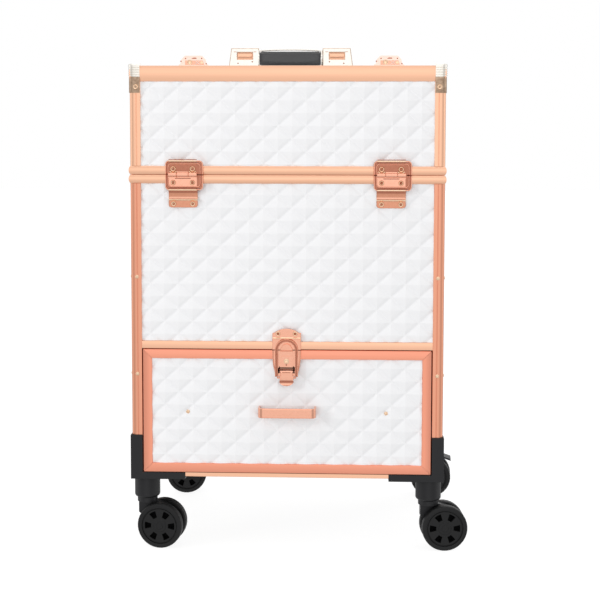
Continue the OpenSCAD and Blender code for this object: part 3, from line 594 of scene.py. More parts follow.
@dataclass
class Run:
    """One straight length of edging.

    Attributes:
        origin: Middle of the foot of its face, in millimetres.
        along: Unit direction of its length.
        inward: Unit direction from the face back into the case.
        section: Points of (depth, height) of its section.
        ends: Distance from the middle to each end, at the face.
        mitre: How much each end shortens for each millimetre of depth.
        up: Unit direction of its height.
    """

    origin: Point
    along: Point
    inward: Point
    section: Sequence[Flat]
    ends: Flat
    mitre: Flat = (0.0, 0.0)
    up: Point = (0.0, 0.0, 1.0)

    def add_to(self, mesh: BMesh) -> None:
        """Adds the length to a mesh, with its run in the UV layer for the grain.

        Args:
            mesh: The mesh that gets it.
        """
        layer = mesh.loops.layers.uv.get(RUN_UV) or mesh.loops.layers.uv.new(RUN_UV)
        origin, along, inward, up = (Vector(v) for v in (self.origin, self.along, self.inward, self.up))
        rows: list[list[BMVert]] = []
        for side in (0, 1):
            row = []
            for depth, height in self.section:
                reach = (self.ends[side] - self.mitre[side] * depth) * (1 if side else -1)
                row.append(mesh.verts.new(origin + along * reach + inward * depth + up * height))
            rows.append(row)
        girth, count = 0.0, len(self.section)
        for i in range(count):
            j = (i + 1) % count
            step = math.dist(self.section[i], self.section[j])
            face = mesh.faces.new((rows[0][i], rows[0][j], rows[1][j], rows[1][i]))
            for loop, across in zip(face.loops, (girth, girth + step, girth + step, girth)):
                loop[layer].uv = ((loop.vert.co - origin).dot(along) * MM, across * MM)
            girth += step
        for row in rows:
            cap = mesh.faces.new(row)
            for loop in cap.loops:
                loop[layer].uv = (loop.vert.co.x * MM, loop.vert.co.z * MM)


# ---------- boards ----------


@dataclass
class Relief:
    """The diamond pattern pressed into the boards.

    Attributes:
        half_width: Half of a diamond's width.
        half_height: Half of a diamond's height.
        strip: Half of the flat strip between two diamonds.
        sunk: How far the strips lie under the board's face.
        proud: How far the peaks stand over the board's face.
        shoulder: Where a diamond's steep foot ends: share of its size, and share of its height.
    """

    half_width: float = 15.4
    half_height: float = 13.8
    strip: float = 0.45
    sunk: float = 0.9
    proud: float = 1.1
    shoulder: Flat = (0.72, 0.42)

    def add_to(
        self, mesh: BMesh, origin: Point, across: Point, up: Point, size: Flat,
        knot: Flat, thickness: float,
    ) -> None:
        """Adds one embossed board to a mesh.

        Args:
            mesh: The mesh that gets it; indices 0 and 1 are vinyl and lining.
            origin: Lower left corner of the board's face, seen from outside.
            across: Unit direction of its width.
            up: Unit direction of its height.
            size: Its width and height.
            knot: A point where four diamonds meet, from the origin.
            thickness: The board's thickness.
        """
        a, b = self.half_width, self.half_height
        inset = 1 - self.strip * math.hypot(a, b) / (a * b)
        part = bmesh.new()
        corners: dict[tuple[int, int], BMVert] = {}

        def corner(i: int, j: int) -> BMVert:
            """Finds or makes the vertex that the diamonds round a lattice point share.

            Args:
                i: Half diamonds across from the knot.
                j: Half diamonds up from the knot.

            Returns:
                The vertex.
            """
            if (i, j) not in corners:
                corners[i, j] = part.verts.new((knot[0] + i * a, knot[1] + j * b, -self.sunk))
            return corners[i, j]

        first = [math.floor((0 - k) / s) - 1 for k, s in zip(knot, (a, b))]
        last = [math.ceil((w - k) / s) + 2 for w, k, s in zip(size, knot, (a, b))]
        for i in range(first[0], last[0]):
            for j in range(first[1], last[1]):
                if (i + j) % 2 == 0:
                    continue
                x, y = knot[0] + i * a, knot[1] + j * b
                outer = [corner(i - 1, j), corner(i, j - 1), corner(i + 1, j), corner(i, j + 1)]
                inner = [
                    part.verts.new((x + (v.co.x - x) * inset, y + (v.co.y - y) * inset, -self.sunk))
                    for v in outer
                ]
                share, level = self.shoulder[0], self.shoulder[1] * (self.sunk + self.proud) - self.sunk
                cushion = [
                    part.verts.new((x + (v.co.x - x) * share, y + (v.co.y - y) * share, level)) for v in inner
                ]
                peak = part.verts.new((x, y, self.proud))
                for k in range(4):
                    n = (k + 1) % 4
                    part.faces.new((outer[k], outer[n], inner[n], inner[k]))
                    part.faces.new((inner[k], inner[n], cushion[n], cushion[k]))
                    part.faces.new((cushion[k], cushion[n], peak))
        for axis in (0, 1):
            for edge, sign in ((0.0, -1), (size[axis], 1)):
                normal, place = [0, 0, 0], [0, 0, 0]
                normal[axis], place[axis] = sign, edge
                bmesh.ops.bisect_plane(
                    part, geom=part.verts[:] + part.edges[:] + part.faces[:], dist=1e-4,
                    plane_co=place, plane_no=normal, clear_outer=True,
                )
        rim = [e for e in part.edges if e.is_boundary]
        pulled = bmesh.ops.extrude_edge_only(part, edges=rim)["geom"]
        for vert in (g for g in pulled if isinstance(g, BMVert)):
            vert.co.z = -thickness
        back = bmesh.ops.contextual_create(
            part, geom=[g for g in pulled if isinstance(g, bmesh.types.BMEdge)]
        )["faces"]
        bmesh.ops.recalc_face_normals(part, faces=part.faces)
        for face in back:
            face.material_index = 1
        u, v = Vector(across), Vector(up)
        turn = Matrix((u, v, u.cross(v))).transposed().to_4x4()
        bmesh.ops.transform(part, matrix=Matrix.Translation(origin) @ turn, verts=part.verts)
        scratch = bpy.data.meshes.new("board")
        part.to_mesh(scratch)
        part.free()
        mesh.from_mesh(scratch)
        bpy.data.meshes.remove(scratch)


@dataclass
class Case:
    """Outline of the case that several sub-assemblies share.

    Attributes:
        half_w: Half of its width.
        half_d: Half of its depth.
        post: Width of a corner post, and depth of a rail.
        skin: How far the boards lie under the posts' faces.
        board: Thickness of a board.
        slot: Depth of the slots that hold the boards.
        floor: Top of the base rails, where the boards start.
        rim_low: Foot of the split band.
        rim_mid: Its middle, where the lid parts from the body.
        rim_top: Its top.
        rim_h: Height of each of its two rails.
        rail_z: Foot of the lid's top rails.
        top: Top of the lid.
        seam: Half of the gap between the lid's two halves.
    """

    half_w: float = 170.0
    half_d: float = 120.0
    post: float = 12.0
    skin: float = 1.5
    board: float = 5.0
    slot: float = 5.0
    floor: float = 85.5
    rim_low: float = 402.6
    rim_mid: float = 412.0
    rim_top: float = 421.4
    rim_h: float = 9.3
    rail_z: float = 512.0
    top: float = 529.0
    seam: float = 0.3

    @property
    def slot_x(self) -> float:
        """Half width of a front board, to the foot of its slots."""
        return self.half_w - self.post + self.slot

    @property
    def slot_y(self) -> float:
        """Half depth of a side board, to the foot of its slots."""
        return self.half_d - self.post + self.slot


CASE = Case()


@dataclass
class Boards:
    """The embossed wall, lid and drawer boards.

    Attributes:
        relief: The diamonds.
        cross_top: Height of the top of the rail over the drawer.
        lid_knot: Where four diamonds meet on the lid's front, from the middle and the floor.
        body_knot: The same on the main compartment's front.
        drawer_knot: The same on the drawer's front.
        drawer_face: Y of the drawer's board.
        drawer_half: Half of that board's width.
        drawer_z: Its foot and top.
        top_inset: How far the lid's top board lies under the top rails.
        side_rail: Width of the upright beside the lid's split.
    """

    relief: Relief = field(default_factory=Relief)
    cross_top: float = 231.0
    lid_knot: Flat = (-102.1, 492.0)
    body_knot: Flat = (-102.6, 500.6)
    drawer_knot: Flat = (-102.1, 492.0)
    drawer_face: float = -119.5
    drawer_half: float = 148.0
    drawer_z: Flat = (95.0, 213.0)
    top_inset: float = 2.0
    side_rail: float = 9.0

    def build(self) -> list[Piece]:
        """Builds every board.

        Returns:
            One piece for each node.
        """
        low, deep = CASE.rim_low, CASE.slot_y
        sides = [self._side(side, -deep, deep, CASE.floor, low) for side in (-1, 1)]
        made = [
            self._piece("front_panel", "body", [self._front(-1, self.cross_top, low, self.body_knot)]),
            self._piece("back_panel", "body", [self._front(1, CASE.floor, low, self.body_knot)]),
            self._piece("side_panels", "body", sides),
            self._drawer(),
        ]
        for half, sign in (("front", -1), ("rear", 1)):
            y = sorted((sign * CASE.slot_y, sign * (CASE.seam + self.side_rail)))
            made.append(self._piece(f"{half}_lid_panels", f"{half}_lid", [
                self._front(sign, CASE.rim_top, CASE.rail_z, self.lid_knot),
                *(self._side(side, y[0], y[1], CASE.rim_top, CASE.rail_z) for side in (-1, 1)),
                self._lid_top(sign),
            ]))
        return made

    def _piece(self, node: str, body: str, boards: Iterable[dict[str, Any]]) -> Piece:
        """Joins boards into the piece that stands for one node.

        Args:
            node: The node.
            body: The body that it rides on.
            boards: What Relief.add_to takes for each board.

        Returns:
            The piece, its pressed edges rounded.
        """
        mesh = bmesh.new()
        for one in boards:
            self.relief.add_to(mesh, thickness=CASE.board, **one)
        piece = finish_piece(mesh, f"embossed_{node}", body, (VINYL, FLOCK), [node], 1.0)
        bevel = piece.modifiers.new("pressed", "BEVEL")
        bevel.width, bevel.segments, bevel.harden_normals = 0.5 * MM, 2, True
        bevel.limit_method, bevel.angle_limit = "ANGLE", math.radians(3)
        return piece

    def _front(self, sign: int, low: float, high: float, knot: Flat) -> dict[str, Any]:
        """Places a board that faces front or back.

        Args:
            sign: -1 for the front, 1 for the back.
            low: Its foot.
            high: Its top.
            knot: X and height of a point where four diamonds meet.

        Returns:
            What Relief.add_to takes for it.
        """
        face = sign * (CASE.half_d - CASE.skin)
        return {
            "origin": (sign * CASE.slot_x, face, low), "across": (-sign, 0, 0), "up": (0, 0, 1),
            "size": (2 * CASE.slot_x, high - low), "knot": (knot[0] + CASE.slot_x, knot[1] - low),
        }

    def _side(self, sign: int, y0: float, y1: float, low: float, high: float) -> dict[str, Any]:
        """Places a board that faces left or right.

        Args:
            sign: -1 for the left, 1 for the right.
            y0: Its end towards the front.
            y1: Its end towards the back.
            low: Its foot.
            high: Its top.

        Returns:
            What Relief.add_to takes for it.
        """
        face = sign * (CASE.half_w - CASE.skin)
        return {
            "origin": (face, y0 if sign > 0 else y1, low), "across": (0, sign, 0), "up": (0, 0, 1),
            "size": (y1 - y0, high - low), "knot": ((y1 - y0) / 2, self.lid_knot[1] - low),
        }

    def _lid_top(self, sign: int) -> dict[str, Any]:
        """Places the top board of one lid half.

        Args:
            sign: -1 for the front half, 1 for the rear.

        Returns:
            What Relief.add_to takes for it.
        """
        half, deep = CASE.half_w - CASE.post, CASE.half_d - 2 * CASE.post - CASE.seam
        low = -(CASE.half_d - CASE.post) if sign < 0 else CASE.post + CASE.seam
        return {
            "origin": (-half, low, CASE.top - self.top_inset), "across": (1, 0, 0), "up": (0, 1, 0),
            "size": (2 * half, deep), "knot": (half, deep / 2),
        }

    def _drawer(self) -> Piece:
        """Builds the drawer's front board.

        Returns:
            Its piece.
        """
        low, high = self.drawer_z
        knot = (self.drawer_knot[0] + self.drawer_half, self.drawer_knot[1] - low)
        return self._piece("drawer_front_panel", "drawer", [{
            "origin": (-self.drawer_half, self.drawer_face, low), "across": (1, 0, 0), "up": (0, 0, 1),
            "size": (2 * self.drawer_half, high - low), "knot": knot,
        }])


# ---------- edging ----------


@dataclass
class Edging:
    """The aluminium edging: posts, split band, cross rails and the lid's frame.

    Attributes:
        corner: Radius of a post's outer corner.
        groove: Distance of the decorative line from a post's corner.
        proud: How far the split band stands out.
        cross: Foot and top of the rail over the drawer.
        base: Foot of the base rails.
        side_rail: Width of the upright beside the lid's split.
    """

    corner: float = 5.0
    groove: float = 7.4
    proud: float = 1.0
    cross: Flat = (222.5, 231.0)
    base: float = 81.0
    side_rail: float = 9.0

    def post_section(self) -> list[Flat]:
        """Draws the section of a post: rounded outside, with a line pressed into each face.

        Returns:
            Points of (depth, height), the outer corner's own square corner at the origin.
        """
        r, g, p = self.corner, self.groove, CASE.post
        line = [(g + 0.7, 0.0), (g + 0.45, 0.35), (g - 0.05, 0.35), (g - 0.3, 0.0)]
        other = [(d, u) for u, d in reversed(line)]
        bend = arc((r, r), r, -90, -180)
        return [(p, p), (p, 0.3), (p - 0.3, 0.0), *line, *bend, *other, (0.0, p - 0.3), (0.3, p)]

    def _post(self, mesh: BMesh, sx: int, sy: int, low: float, high: float) -> None:
        """Adds one post.

        Args:
            mesh: The mesh that gets it.
            sx: -1 at the left, 1 at the right.
            sy: -1 at the front, 1 at the back.
            low: Its foot.
            high: Its top.
        """
        Run(
            (sx * CASE.half_w, sy * CASE.half_d, (low + high) / 2), (0, 0, 1), (-sx, 0, 0),
            self.post_section(), ((high - low) / 2,) * 2, up=(0, -sy, 0),
        ).add_to(mesh)

    @staticmethod
    def _ring(
        mesh: BMesh, low: float, proud: float, section: Sequence[Flat], halves: Sequence[int]
    ) -> None:
        """Adds one ring of rails, or the half of it that a lid half has.

        Args:
            mesh: The mesh that gets it.
            low: Foot of the rails.
            proud: How far they stand out from the case.
            section: Their section.
            halves: -1 for the front half, 1 for the rear.
        """
        w, d = CASE.half_w + proud, CASE.half_d + proud
        for sy in halves:
            Run((0, sy * d, low), (-sy, 0, 0), (0, -sy, 0), section, (w, w), (1, 1)).add_to(mesh)
        for sx in (-1, 1):
            ends, mitre = (d, d), (1, 1)
            if len(halves) == 1:
                ends, mitre = ((d, -CASE.seam), (1, 0)) if halves[0] * sx < 0 else ((-CASE.seam, d), (0, 1))
            Run((sx * w, 0, low), (0, sx, 0), (-sx, 0, 0), section, ends, mitre).add_to(mesh)

    @property
    def band(self) -> list[Flat]:
        """Section of the split band's rails."""
        return bulged(CASE.post + self.proud, CASE.rim_h, fillet=0.3)

    def _lid(self, half: str, sign: int) -> Piece:
        """Builds the frame of one lid half.

        Args:
            half: Its name, front or rear.
            sign: -1 for the front half, 1 for the rear.

        Returns:
            Its piece.
        """
        mesh = bmesh.new()
        wide, middle = self.side_rail, (CASE.rim_top + CASE.rail_z) / 2
        upright = [(CASE.post, 0.0), (0.4, 0.0), (0.0, 0.4), (0.0, wide), (CASE.post, wide)]
        for sx in (-1, 1):
            self._post(mesh, sx, sign, CASE.rim_top, CASE.rail_z)
            Run(
                (sx * CASE.half_w, sign * (CASE.seam + wide), middle), (0, 0, 1), (-sx, 0, 0), upright,
                (CASE.rail_z - middle,) * 2, up=(0, -sign, 0),
            ).add_to(mesh)
        self._ring(mesh, CASE.rim_mid + 0.1, self.proud, self.band, (sign,))
        height = CASE.top - CASE.rail_z
        self._ring(mesh, CASE.rail_z, 0.0, bulged(CASE.post, height), (sign,))
        split = [(0.0, 4.0), (0.0, height - 0.4), (0.4, height), (CASE.post, height), (CASE.post, 4.0)]
        Run(
            (0, sign * CASE.seam, CASE.rail_z), (-sign, 0, 0), (0, sign, 0), split,
            (CASE.half_w - CASE.post,) * 2,
        ).add_to(mesh)
        node = f"{half}_lid_frame"
        return finish_piece(mesh, f"edging_{node}", f"{half}_lid", (EDGING,), [node])

    def build(self) -> list[Piece]:
        """Builds all the edging but the drawer's.

        Returns:
            One piece for each node.
        """
        posts = bmesh.new()
        for sx in (-1, 1):
            for sy in (-1, 1):
                self._post(posts, sx, sy, CASE.floor, CASE.rim_low)
        rim = bmesh.new()
        self._ring(rim, CASE.rim_low, self.proud, self.band, (-1, 1))
        cross = bmesh.new()
        inner = CASE.half_w - CASE.post
        low, high = self.cross
        Run(
            (0, -CASE.half_d, low), (1, 0, 0), (0, 1, 0), bulged(CASE.post, high - low, 0.5), (inner,) * 2,
        ).add_to(cross)
        height = CASE.floor - self.base
        base = [(CASE.post, 0.0), (0.5, 0.0), (0.0, 0.5), (0.0, height), (CASE.post, height)]
        for sign in (-1, 1):
            for place, along, inward, reach in (
                ((0, sign * CASE.half_d, self.base), (-sign, 0, 0), (0, -sign, 0), CASE.half_w - 1),
                ((sign * CASE.half_w, 0, self.base), (0, sign, 0), (-sign, 0, 0), CASE.half_d - 1),
            ):
                Run(place, along, inward, base, (reach,) * 2, (1, 1)).add_to(cross)
        # the body's posts get the darker copy of the edging: painted shade
        made = [
            finish_piece(mesh, f"edging_{node}", "body", (finish,), [node])
            for mesh, node, finish in (
                (posts, "corner_posts", POST_EDGING_PAINTED_SHADE), (rim, "rim_rails", EDGING),
                (cross, "cross_rails", EDGING),
            )
        ]
        return [*made, self._lid("front", -1), self._lid("rear", 1)]


# ---------- fittings ----------


@dataclass(frozen=True)
class Hoop:
    """One raised bar that runs up a hinge leaf's side, across its end and down its other side.

    Attributes:
        half: Half of its width, to its middle line.
        reach: Its distance from the split, to its middle line.
        wide: Width of the bar.
        out: How far it stands out from the leaf's back.
    """

    half: float
    reach: float
    wide: float
    out: float


@dataclass
class Hinges:
    """The four lid-stay hinges: a leaf above the split, a leaf below it with a tab over the board.

    Attributes:
        place: Distance of each hinge from the middle.
        split: Height of the split.
        foot: Distance of a leaf's back from the middle plane.
        pin: Distance of the hinge pin from the middle plane.
        knuckle: Radius of the knuckles.
        half: Half width of the leaf's plate.
        aside: How far the hoops and plates sit to the right of the tab's middle.
        bend: Corner radius of the hoops.
        upper_hoops: The nested hoops above the split.
        lower_hoops: The nested hoops below the split.
        tab_face: Distance of the tab's face from the middle plane.
        tab_top: Where the tab starts below the split.
        tab_end: How far the tab reaches below the split.
        tab_half: Half of the tab's width.
        tab_corner: Corner radius of the tab's end.
        groove_half: Half length of the lip and grooves along a leaf's end.
        rivet_aside: How far the rivets lie from the middle.
        upper_rivet: Height over the split and radius of the upper leaf's rivets.
        lower_rivet: Depth under the split and radius of the lower leaf's rivets.
        side_knuckle: Length of each of the two outer knuckles.
        edge: Width and least angle of the rounding of the leaves' edges.
    """

    place: float = 112.0
    split: float = 412.0
    foot: float = 121.0
    pin: float = 125.5
    knuckle: float = 2.4
    half: float = 18.9
    aside: float = 1.5
    bend: float = 3.6
    upper_hoops: tuple[Hoop, ...] = (Hoop(19.7, 14.7, 1.7, 3.5), Hoop(17.3, 12.2, 1.5, 2.9))
    lower_hoops: tuple[Hoop, ...] = (Hoop(19.7, 16.0, 1.7, 3.5), Hoop(17.3, 12.9, 1.5, 2.9))
    tab_face: float = 120.5
    tab_top: float = 16.4
    tab_end: float = 35.4
    tab_half: float = 15.7
    tab_corner: float = 3.0
    groove_half: float = 15.2
    rivet_aside: float = 10.4
    upper_rivet: Flat = (6.3, 3.3)
    lower_rivet: Flat = (8.4, 2.9)
    side_knuckle: float = 9.1
    edge: Flat = (0.3, 40)

    def _leaf(self, mesh: BMesh, x: float, up: int, rear: bool) -> None:
        """Adds the parts that both leaves share: plate, nested hoops, grooved end and two rivets.

        Args:
            mesh: The mesh that gets them.
            x: Middle of the hinge.
            up: 1 for the leaf above the split, -1 for the one below.
            rear: Whether the hinge is on the back.
        """
        side = 1 if rear else -1
        hoops = self.upper_hoops if up > 0 else self.lower_hoops
        low, high = sorted((up * 0.4, up * (hoops[0].reach - 1.2)))
        # the back plate shows between the hoops in the darker plating: painted shade
        back = both_sides([(self.half, low), (self.half, high)])
        plate(mesh, back, self.foot, self.foot + 1.5, (x + self.aside, self.split), rear, 1)
        # the raised panel between the hoops stops short of their end
        low, high = (low, high - 2.4) if up > 0 else (low + 2.4, high)
        panel = [(-15.8, low), (15.2, low), (15.2, high), (-15.8, high)]
        plate(mesh, panel, self.foot + 1.2, self.foot + 1.65, (x, self.split), rear)
        for hoop in hoops:
            corner = arc((hoop.half - self.bend, hoop.reach - self.bend), self.bend, 0, 90, 6)
            y = side * (self.foot + hoop.out / 2 - 0.4)
            middle = both_sides([(hoop.half, 0.5), *corner])
            path = [(x + self.aside + a, y, self.split + up * b) for a, b in middle]
            bar(mesh, path, hoop.wide, hoop.out + 0.8, steps=16)
        # a lip along the end in the pale metal, a painted highlight, between two grooves in the darker
        # plating, painted shade
        for offset, wide, index in ((-1.6, 1.1, 1), (0.0, 1.5, 2), (1.5, 0.8, 1)):
            z = self.split + up * (hoops[0].reach + 0.2 + offset)
            y = side * (self.foot + hoops[0].out + (0.0 if index == 1 else 0.1))
            bar(mesh, [(x + e * self.groove_half, y, z) for e in (-1, 1)], wide, 0.8, index=index)
        height, radius = self.upper_rivet if up > 0 else self.lower_rivet
        for e in (-1, 1):
            place = (x + e * self.rivet_aside, self.split + up * height)
            rivet(mesh, *place, self.foot + 1.5, radius, 2.2, rear, 2)

    def _upper(self, x: float, rear: bool, mesh: BMesh) -> None:
        """Adds one leaf above the split, with a pale crescent under each rivet, a painted highlight, and the
        middle knuckle.

        Args:
            x: Middle of the hinge.
            rear: Whether the hinge is on the back.
            mesh: The mesh that gets it.
        """
        side = 1 if rear else -1
        self._leaf(mesh, x, 1, rear)
        # the recess is painted in the darker plating: painted shade
        recess = both_sides([(15.4, 3.0), (15.4, 10.9)])
        plate(mesh, recess, self.foot + 1.2, self.foot + 1.75, (x, self.split), rear, 1)
        y, z = side * (self.foot + 1.6), self.split + self.upper_rivet[0]
        # a pale bar under each rivet: painted highlight of the crescent of light there
        for e in (-1, 1):
            crescent = arc((x + e * self.rivet_aside, z - 0.3), 4.2, 212, 328, 10)
            bar(mesh, [(a, y, b) for a, b in crescent], 1.9, 3.0, index=2)
        self._knuckle(mesh, x - 6.2, 12.4, side)
        root = both_sides([(6.1, 0.5), (6.1, 3.6)])
        plate(mesh, root, self.foot + 1.0, self.pin, (x, self.split), rear)

    def _knuckle(self, mesh: BMesh, start: float, length: float, side: int) -> None:
        """Adds one knuckle round the hinge pin.

        Args:
            mesh: The mesh that gets it.
            start: X of its left end.
            length: Its length.
            side: -1 on the front, 1 on the back.
        """
        r = self.knuckle
        lathe(
            mesh, [(r - 0.4, 0), (r, 0.4), (r, length - 0.4), (r - 0.4, length)],
            (start, side * self.pin, self.split), (1, 0, 0), 20,
        )

    def _lower(self, x: float, rear: bool, mesh: BMesh) -> None:
        """Adds one leaf below the split, with the outer knuckles, the pin and the tab.

        Args:
            x: Middle of the hinge.
            rear: Whether the hinge is on the back.
            mesh: The mesh that gets it.
        """
        side = 1 if rear else -1
        self._leaf(mesh, x, -1, rear)
        for start in (-15.6, 6.5):
            end = start + self.side_knuckle
            self._knuckle(mesh, x + start, self.side_knuckle, side)
            root = [(start, -3.4), (end, -3.4), (end, -0.5), (start, -0.5)]
            plate(mesh, root, self.foot + 1.0, self.pin, (x, self.split), rear)
        # the crease is painted in the darker plating: painted shade
        crease = [(x + e * 8.5, side * (self.foot + 1.5), self.split - 3.9) for e in (-1, 1)]
        bar(mesh, crease, 0.9, 0.9, index=1)
        lathe(mesh, [(1.4, 0), (1.4, 16)], (x - 8, side * self.pin, self.split), (1, 0, 0), 16)
        self._tab(x, rear, mesh)

    def _tab(self, x: float, rear: bool, mesh: BMesh) -> None:
        """Adds the tab that curves in from the rim and lies on the board, with a bead and two rivets.

        Args:
            x: Middle of the hinge.
            rear: Whether the hinge is on the back.
            mesh: The mesh that gets it.
        """
        side = 1 if rear else -1
        face, half, corner = self.tab_face, self.tab_half, self.tab_corner
        curve = [(2.1 * (1 - i / 8) ** 1.7, self.tab_top + 8.4 * i / 8) for i in range(9)]
        bead = [(0.0, 25.8), (0.6, 26.3), (0.9, 26.9), (0.6, 27.5), (0.0, 28.0)]
        end = [(0.0, self.tab_end - corner + corner * k / 4) for k in range(5)]
        rows = []
        for out, z in curve + bead + end:
            over = max(0.0, z - (self.tab_end - corner))
            w = half - corner + math.sqrt(max(0.0, corner**2 - over**2)) if over else half
            across = ((-w, -2.0), (-w, out - 0.4), (0.4 - w, out), (w - 0.4, out), (w, out - 0.4), (w, -2.0))
            rows.append([mesh.verts.new((x + a, side * (face + b), self.split - z)) for a, b in across])
        # painted shade deep under the rim, a painted dim reflection down the curve, the plain plating on its
        # lit foot, a painted highlight on the bead, and the dim reflection again on the flat end
        steps = [1] * 3 + [3] * 4 + [0] * 2 + [2] * 4 + [3] * (len(rows) - 14)
        join_rings(mesh, rows, [0, *steps, 0])
        for e in (-1, 1):
            rivet(mesh, x + e * (self.rivet_aside - 0.1), self.split - 31.4, face - 0.1, 2.8, 1.8, rear, 2)

    def build(self) -> list[Piece]:
        """Builds the upper leaves of each lid half and all the lower leaves.

        Returns:
            One piece for each node.
        """
        made = []
        for name, rear in (("front", False), ("rear", True)):
            mesh = bmesh.new()
            for e in (-1, 1):
                self._upper(e * self.place, rear, mesh)
            made.append(finish_piece(
                mesh, f"{name}_hinge_upper_leaves", f"{name}_lid", (PLATE, PLATE_PAINTED_SHADE, SCREW_AND_PAINTED_HIGHLIGHT),
                [f"{name}_hinge_leaves"], edge=self.edge,
            ))
        mesh = bmesh.new()
        for rear in (False, True):
            for e in (-1, 1):
                self._lower(e * self.place, rear, mesh)
        made.append(finish_piece(
            mesh, "hinge_lower_leaves", "body", (PLATE, PLATE_PAINTED_SHADE, SCREW_AND_PAINTED_HIGHLIGHT, PLATE_PAINTED_DIM),
            ["lower_hinge_leaves"], edge=self.edge,
        ))
        return made


@dataclass
class CornerCaps:
    """The pressed caps on the lid's four top corners: ridged champagne above, bronze below.

    Attributes:
        cover: How far a cap reaches from the corner.
        proud: How far its lower half stands out from the rail's edges.
        crown: The same for its upper half.
        foot: Its lowest edge.
        split: Where the bronze half ends.
        top: Its top.
        corner: Radius of its upright edge.
        ridges: Pressed ridges over the upper half.
        rivet: Distance of the rivet from the corner, and its height over the foot.
    """

    cover: float = 11.7
    proud: float = 0.7
    crown: float = 1.3
    foot: float = 499.8
    split: float = 517.2
    top: float = 530.9
    corner: float = 4.5
    ridges: int = 4
    rivet: Flat = (7.2, 6.4)

    def _profile(self) -> list[tuple[float, float, int]]:
        """Draws a cap's section.

        Returns:
            Points of (offset outward, height, finish index) from the foot to the top.
        """
        low, p, foot, split = self.proud, self.crown, self.foot, self.split
        points = [
            (-0.4, foot, 1), (low - 0.2, foot, 1), (low, foot + 0.3, 1), (low, split - 0.5, 1),
            (low - 0.55, split - 0.25, 1), (low - 0.55, split + 0.1, 0), (p, split + 0.4, 0),
        ]
        pitch = (self.top - 2.2 - split - 1.6) / self.ridges
        for k in range(self.ridges):
            z = split + 1.6 + pitch * k
            points += [(p, z, 0), (p - 0.5, z + 0.35, 0), (p - 0.5, z + 0.75, 0), (p, z + 1.1, 0)]
        edge = ((p, -1.6), (p - 0.3, -0.6), (p - 1.2, 0.0), (-4.0, 0.1))
        return points + [(out, self.top + z, 0) for out, z in edge]

    def _cap(self, mesh: BMesh, sx: int, sy: int) -> None:
        """Adds one cap.

        Args:
            mesh: The mesh that gets it.
            sx: -1 at the left, 1 at the right.
            sy: -1 at the front, 1 at the back.
        """
        r, w, d = self.corner, CASE.half_w, CASE.half_d
        plan = [((w - self.cover, d), (0, 1)), ((w - r, d), (0, 1))]
        for i in range(1, 7):
            t = math.pi / 2 * (1 - i / 7)
            plan.append(((w - r + r * math.cos(t), d - r + r * math.sin(t)), (math.cos(t), math.sin(t))))
        plan += [((w, d - r), (1, 0)), ((w, d - self.cover), (1, 0))]
        profile = self._profile()
        rows = [
            [mesh.verts.new((sx * (x + nx * o), sy * (y + ny * o), z)) for (x, y), (nx, ny) in plan]
            for o, z, _ in profile
        ]
        for j, (one, two) in enumerate(zip(rows, rows[1:])):
            for k in range(len(plan) - 1):
                add_face(mesh, (one[k], one[k + 1], two[k + 1], two[k]), profile[j + 1][2])
        inner = mesh.verts.new((sx * (w - self.cover), sy * (d - self.cover), self.top))
        for k in range(len(plan) - 1):
            add_face(mesh, (rows[-1][k], rows[-1][k + 1], inner))
        for row_end, foot in ((0, (w - self.cover, d - 1.0)), (-1, (w - 1.0, d - self.cover))):
            back = [mesh.verts.new((sx * foot[0], sy * foot[1], z)) for _, z, _ in profile]
            for j in range(len(profile) - 1):
                near = (rows[j][row_end], rows[j + 1][row_end])
                add_face(mesh, (*near, back[j + 1], back[j]), profile[j + 1][2])
        aside, height = self.rivet
        rivet(mesh, sx * (w - aside), self.foot + height, d + self.proud - 0.1, 2.8, 1.5, sy > 0, 2)

    def build(self) -> list[Piece]:
        """Builds the caps of each lid half.

        Returns:
            One piece for each node.
        """
        made = []
        for half, sy in (("front", -1), ("rear", 1)):
            mesh = bmesh.new()
            for sx in (-1, 1):
                self._cap(mesh, sx, sy)
            made.append(finish_piece(
                mesh, f"{half}_corner_caps", f"{half}_lid", (CHAMPAGNE, BRONZE_AND_PAINTED_SHADE, SCREW_AND_PAINTED_HIGHLIGHT),
                [f"{half}_lid_corners"], 40,
            ))
        return made


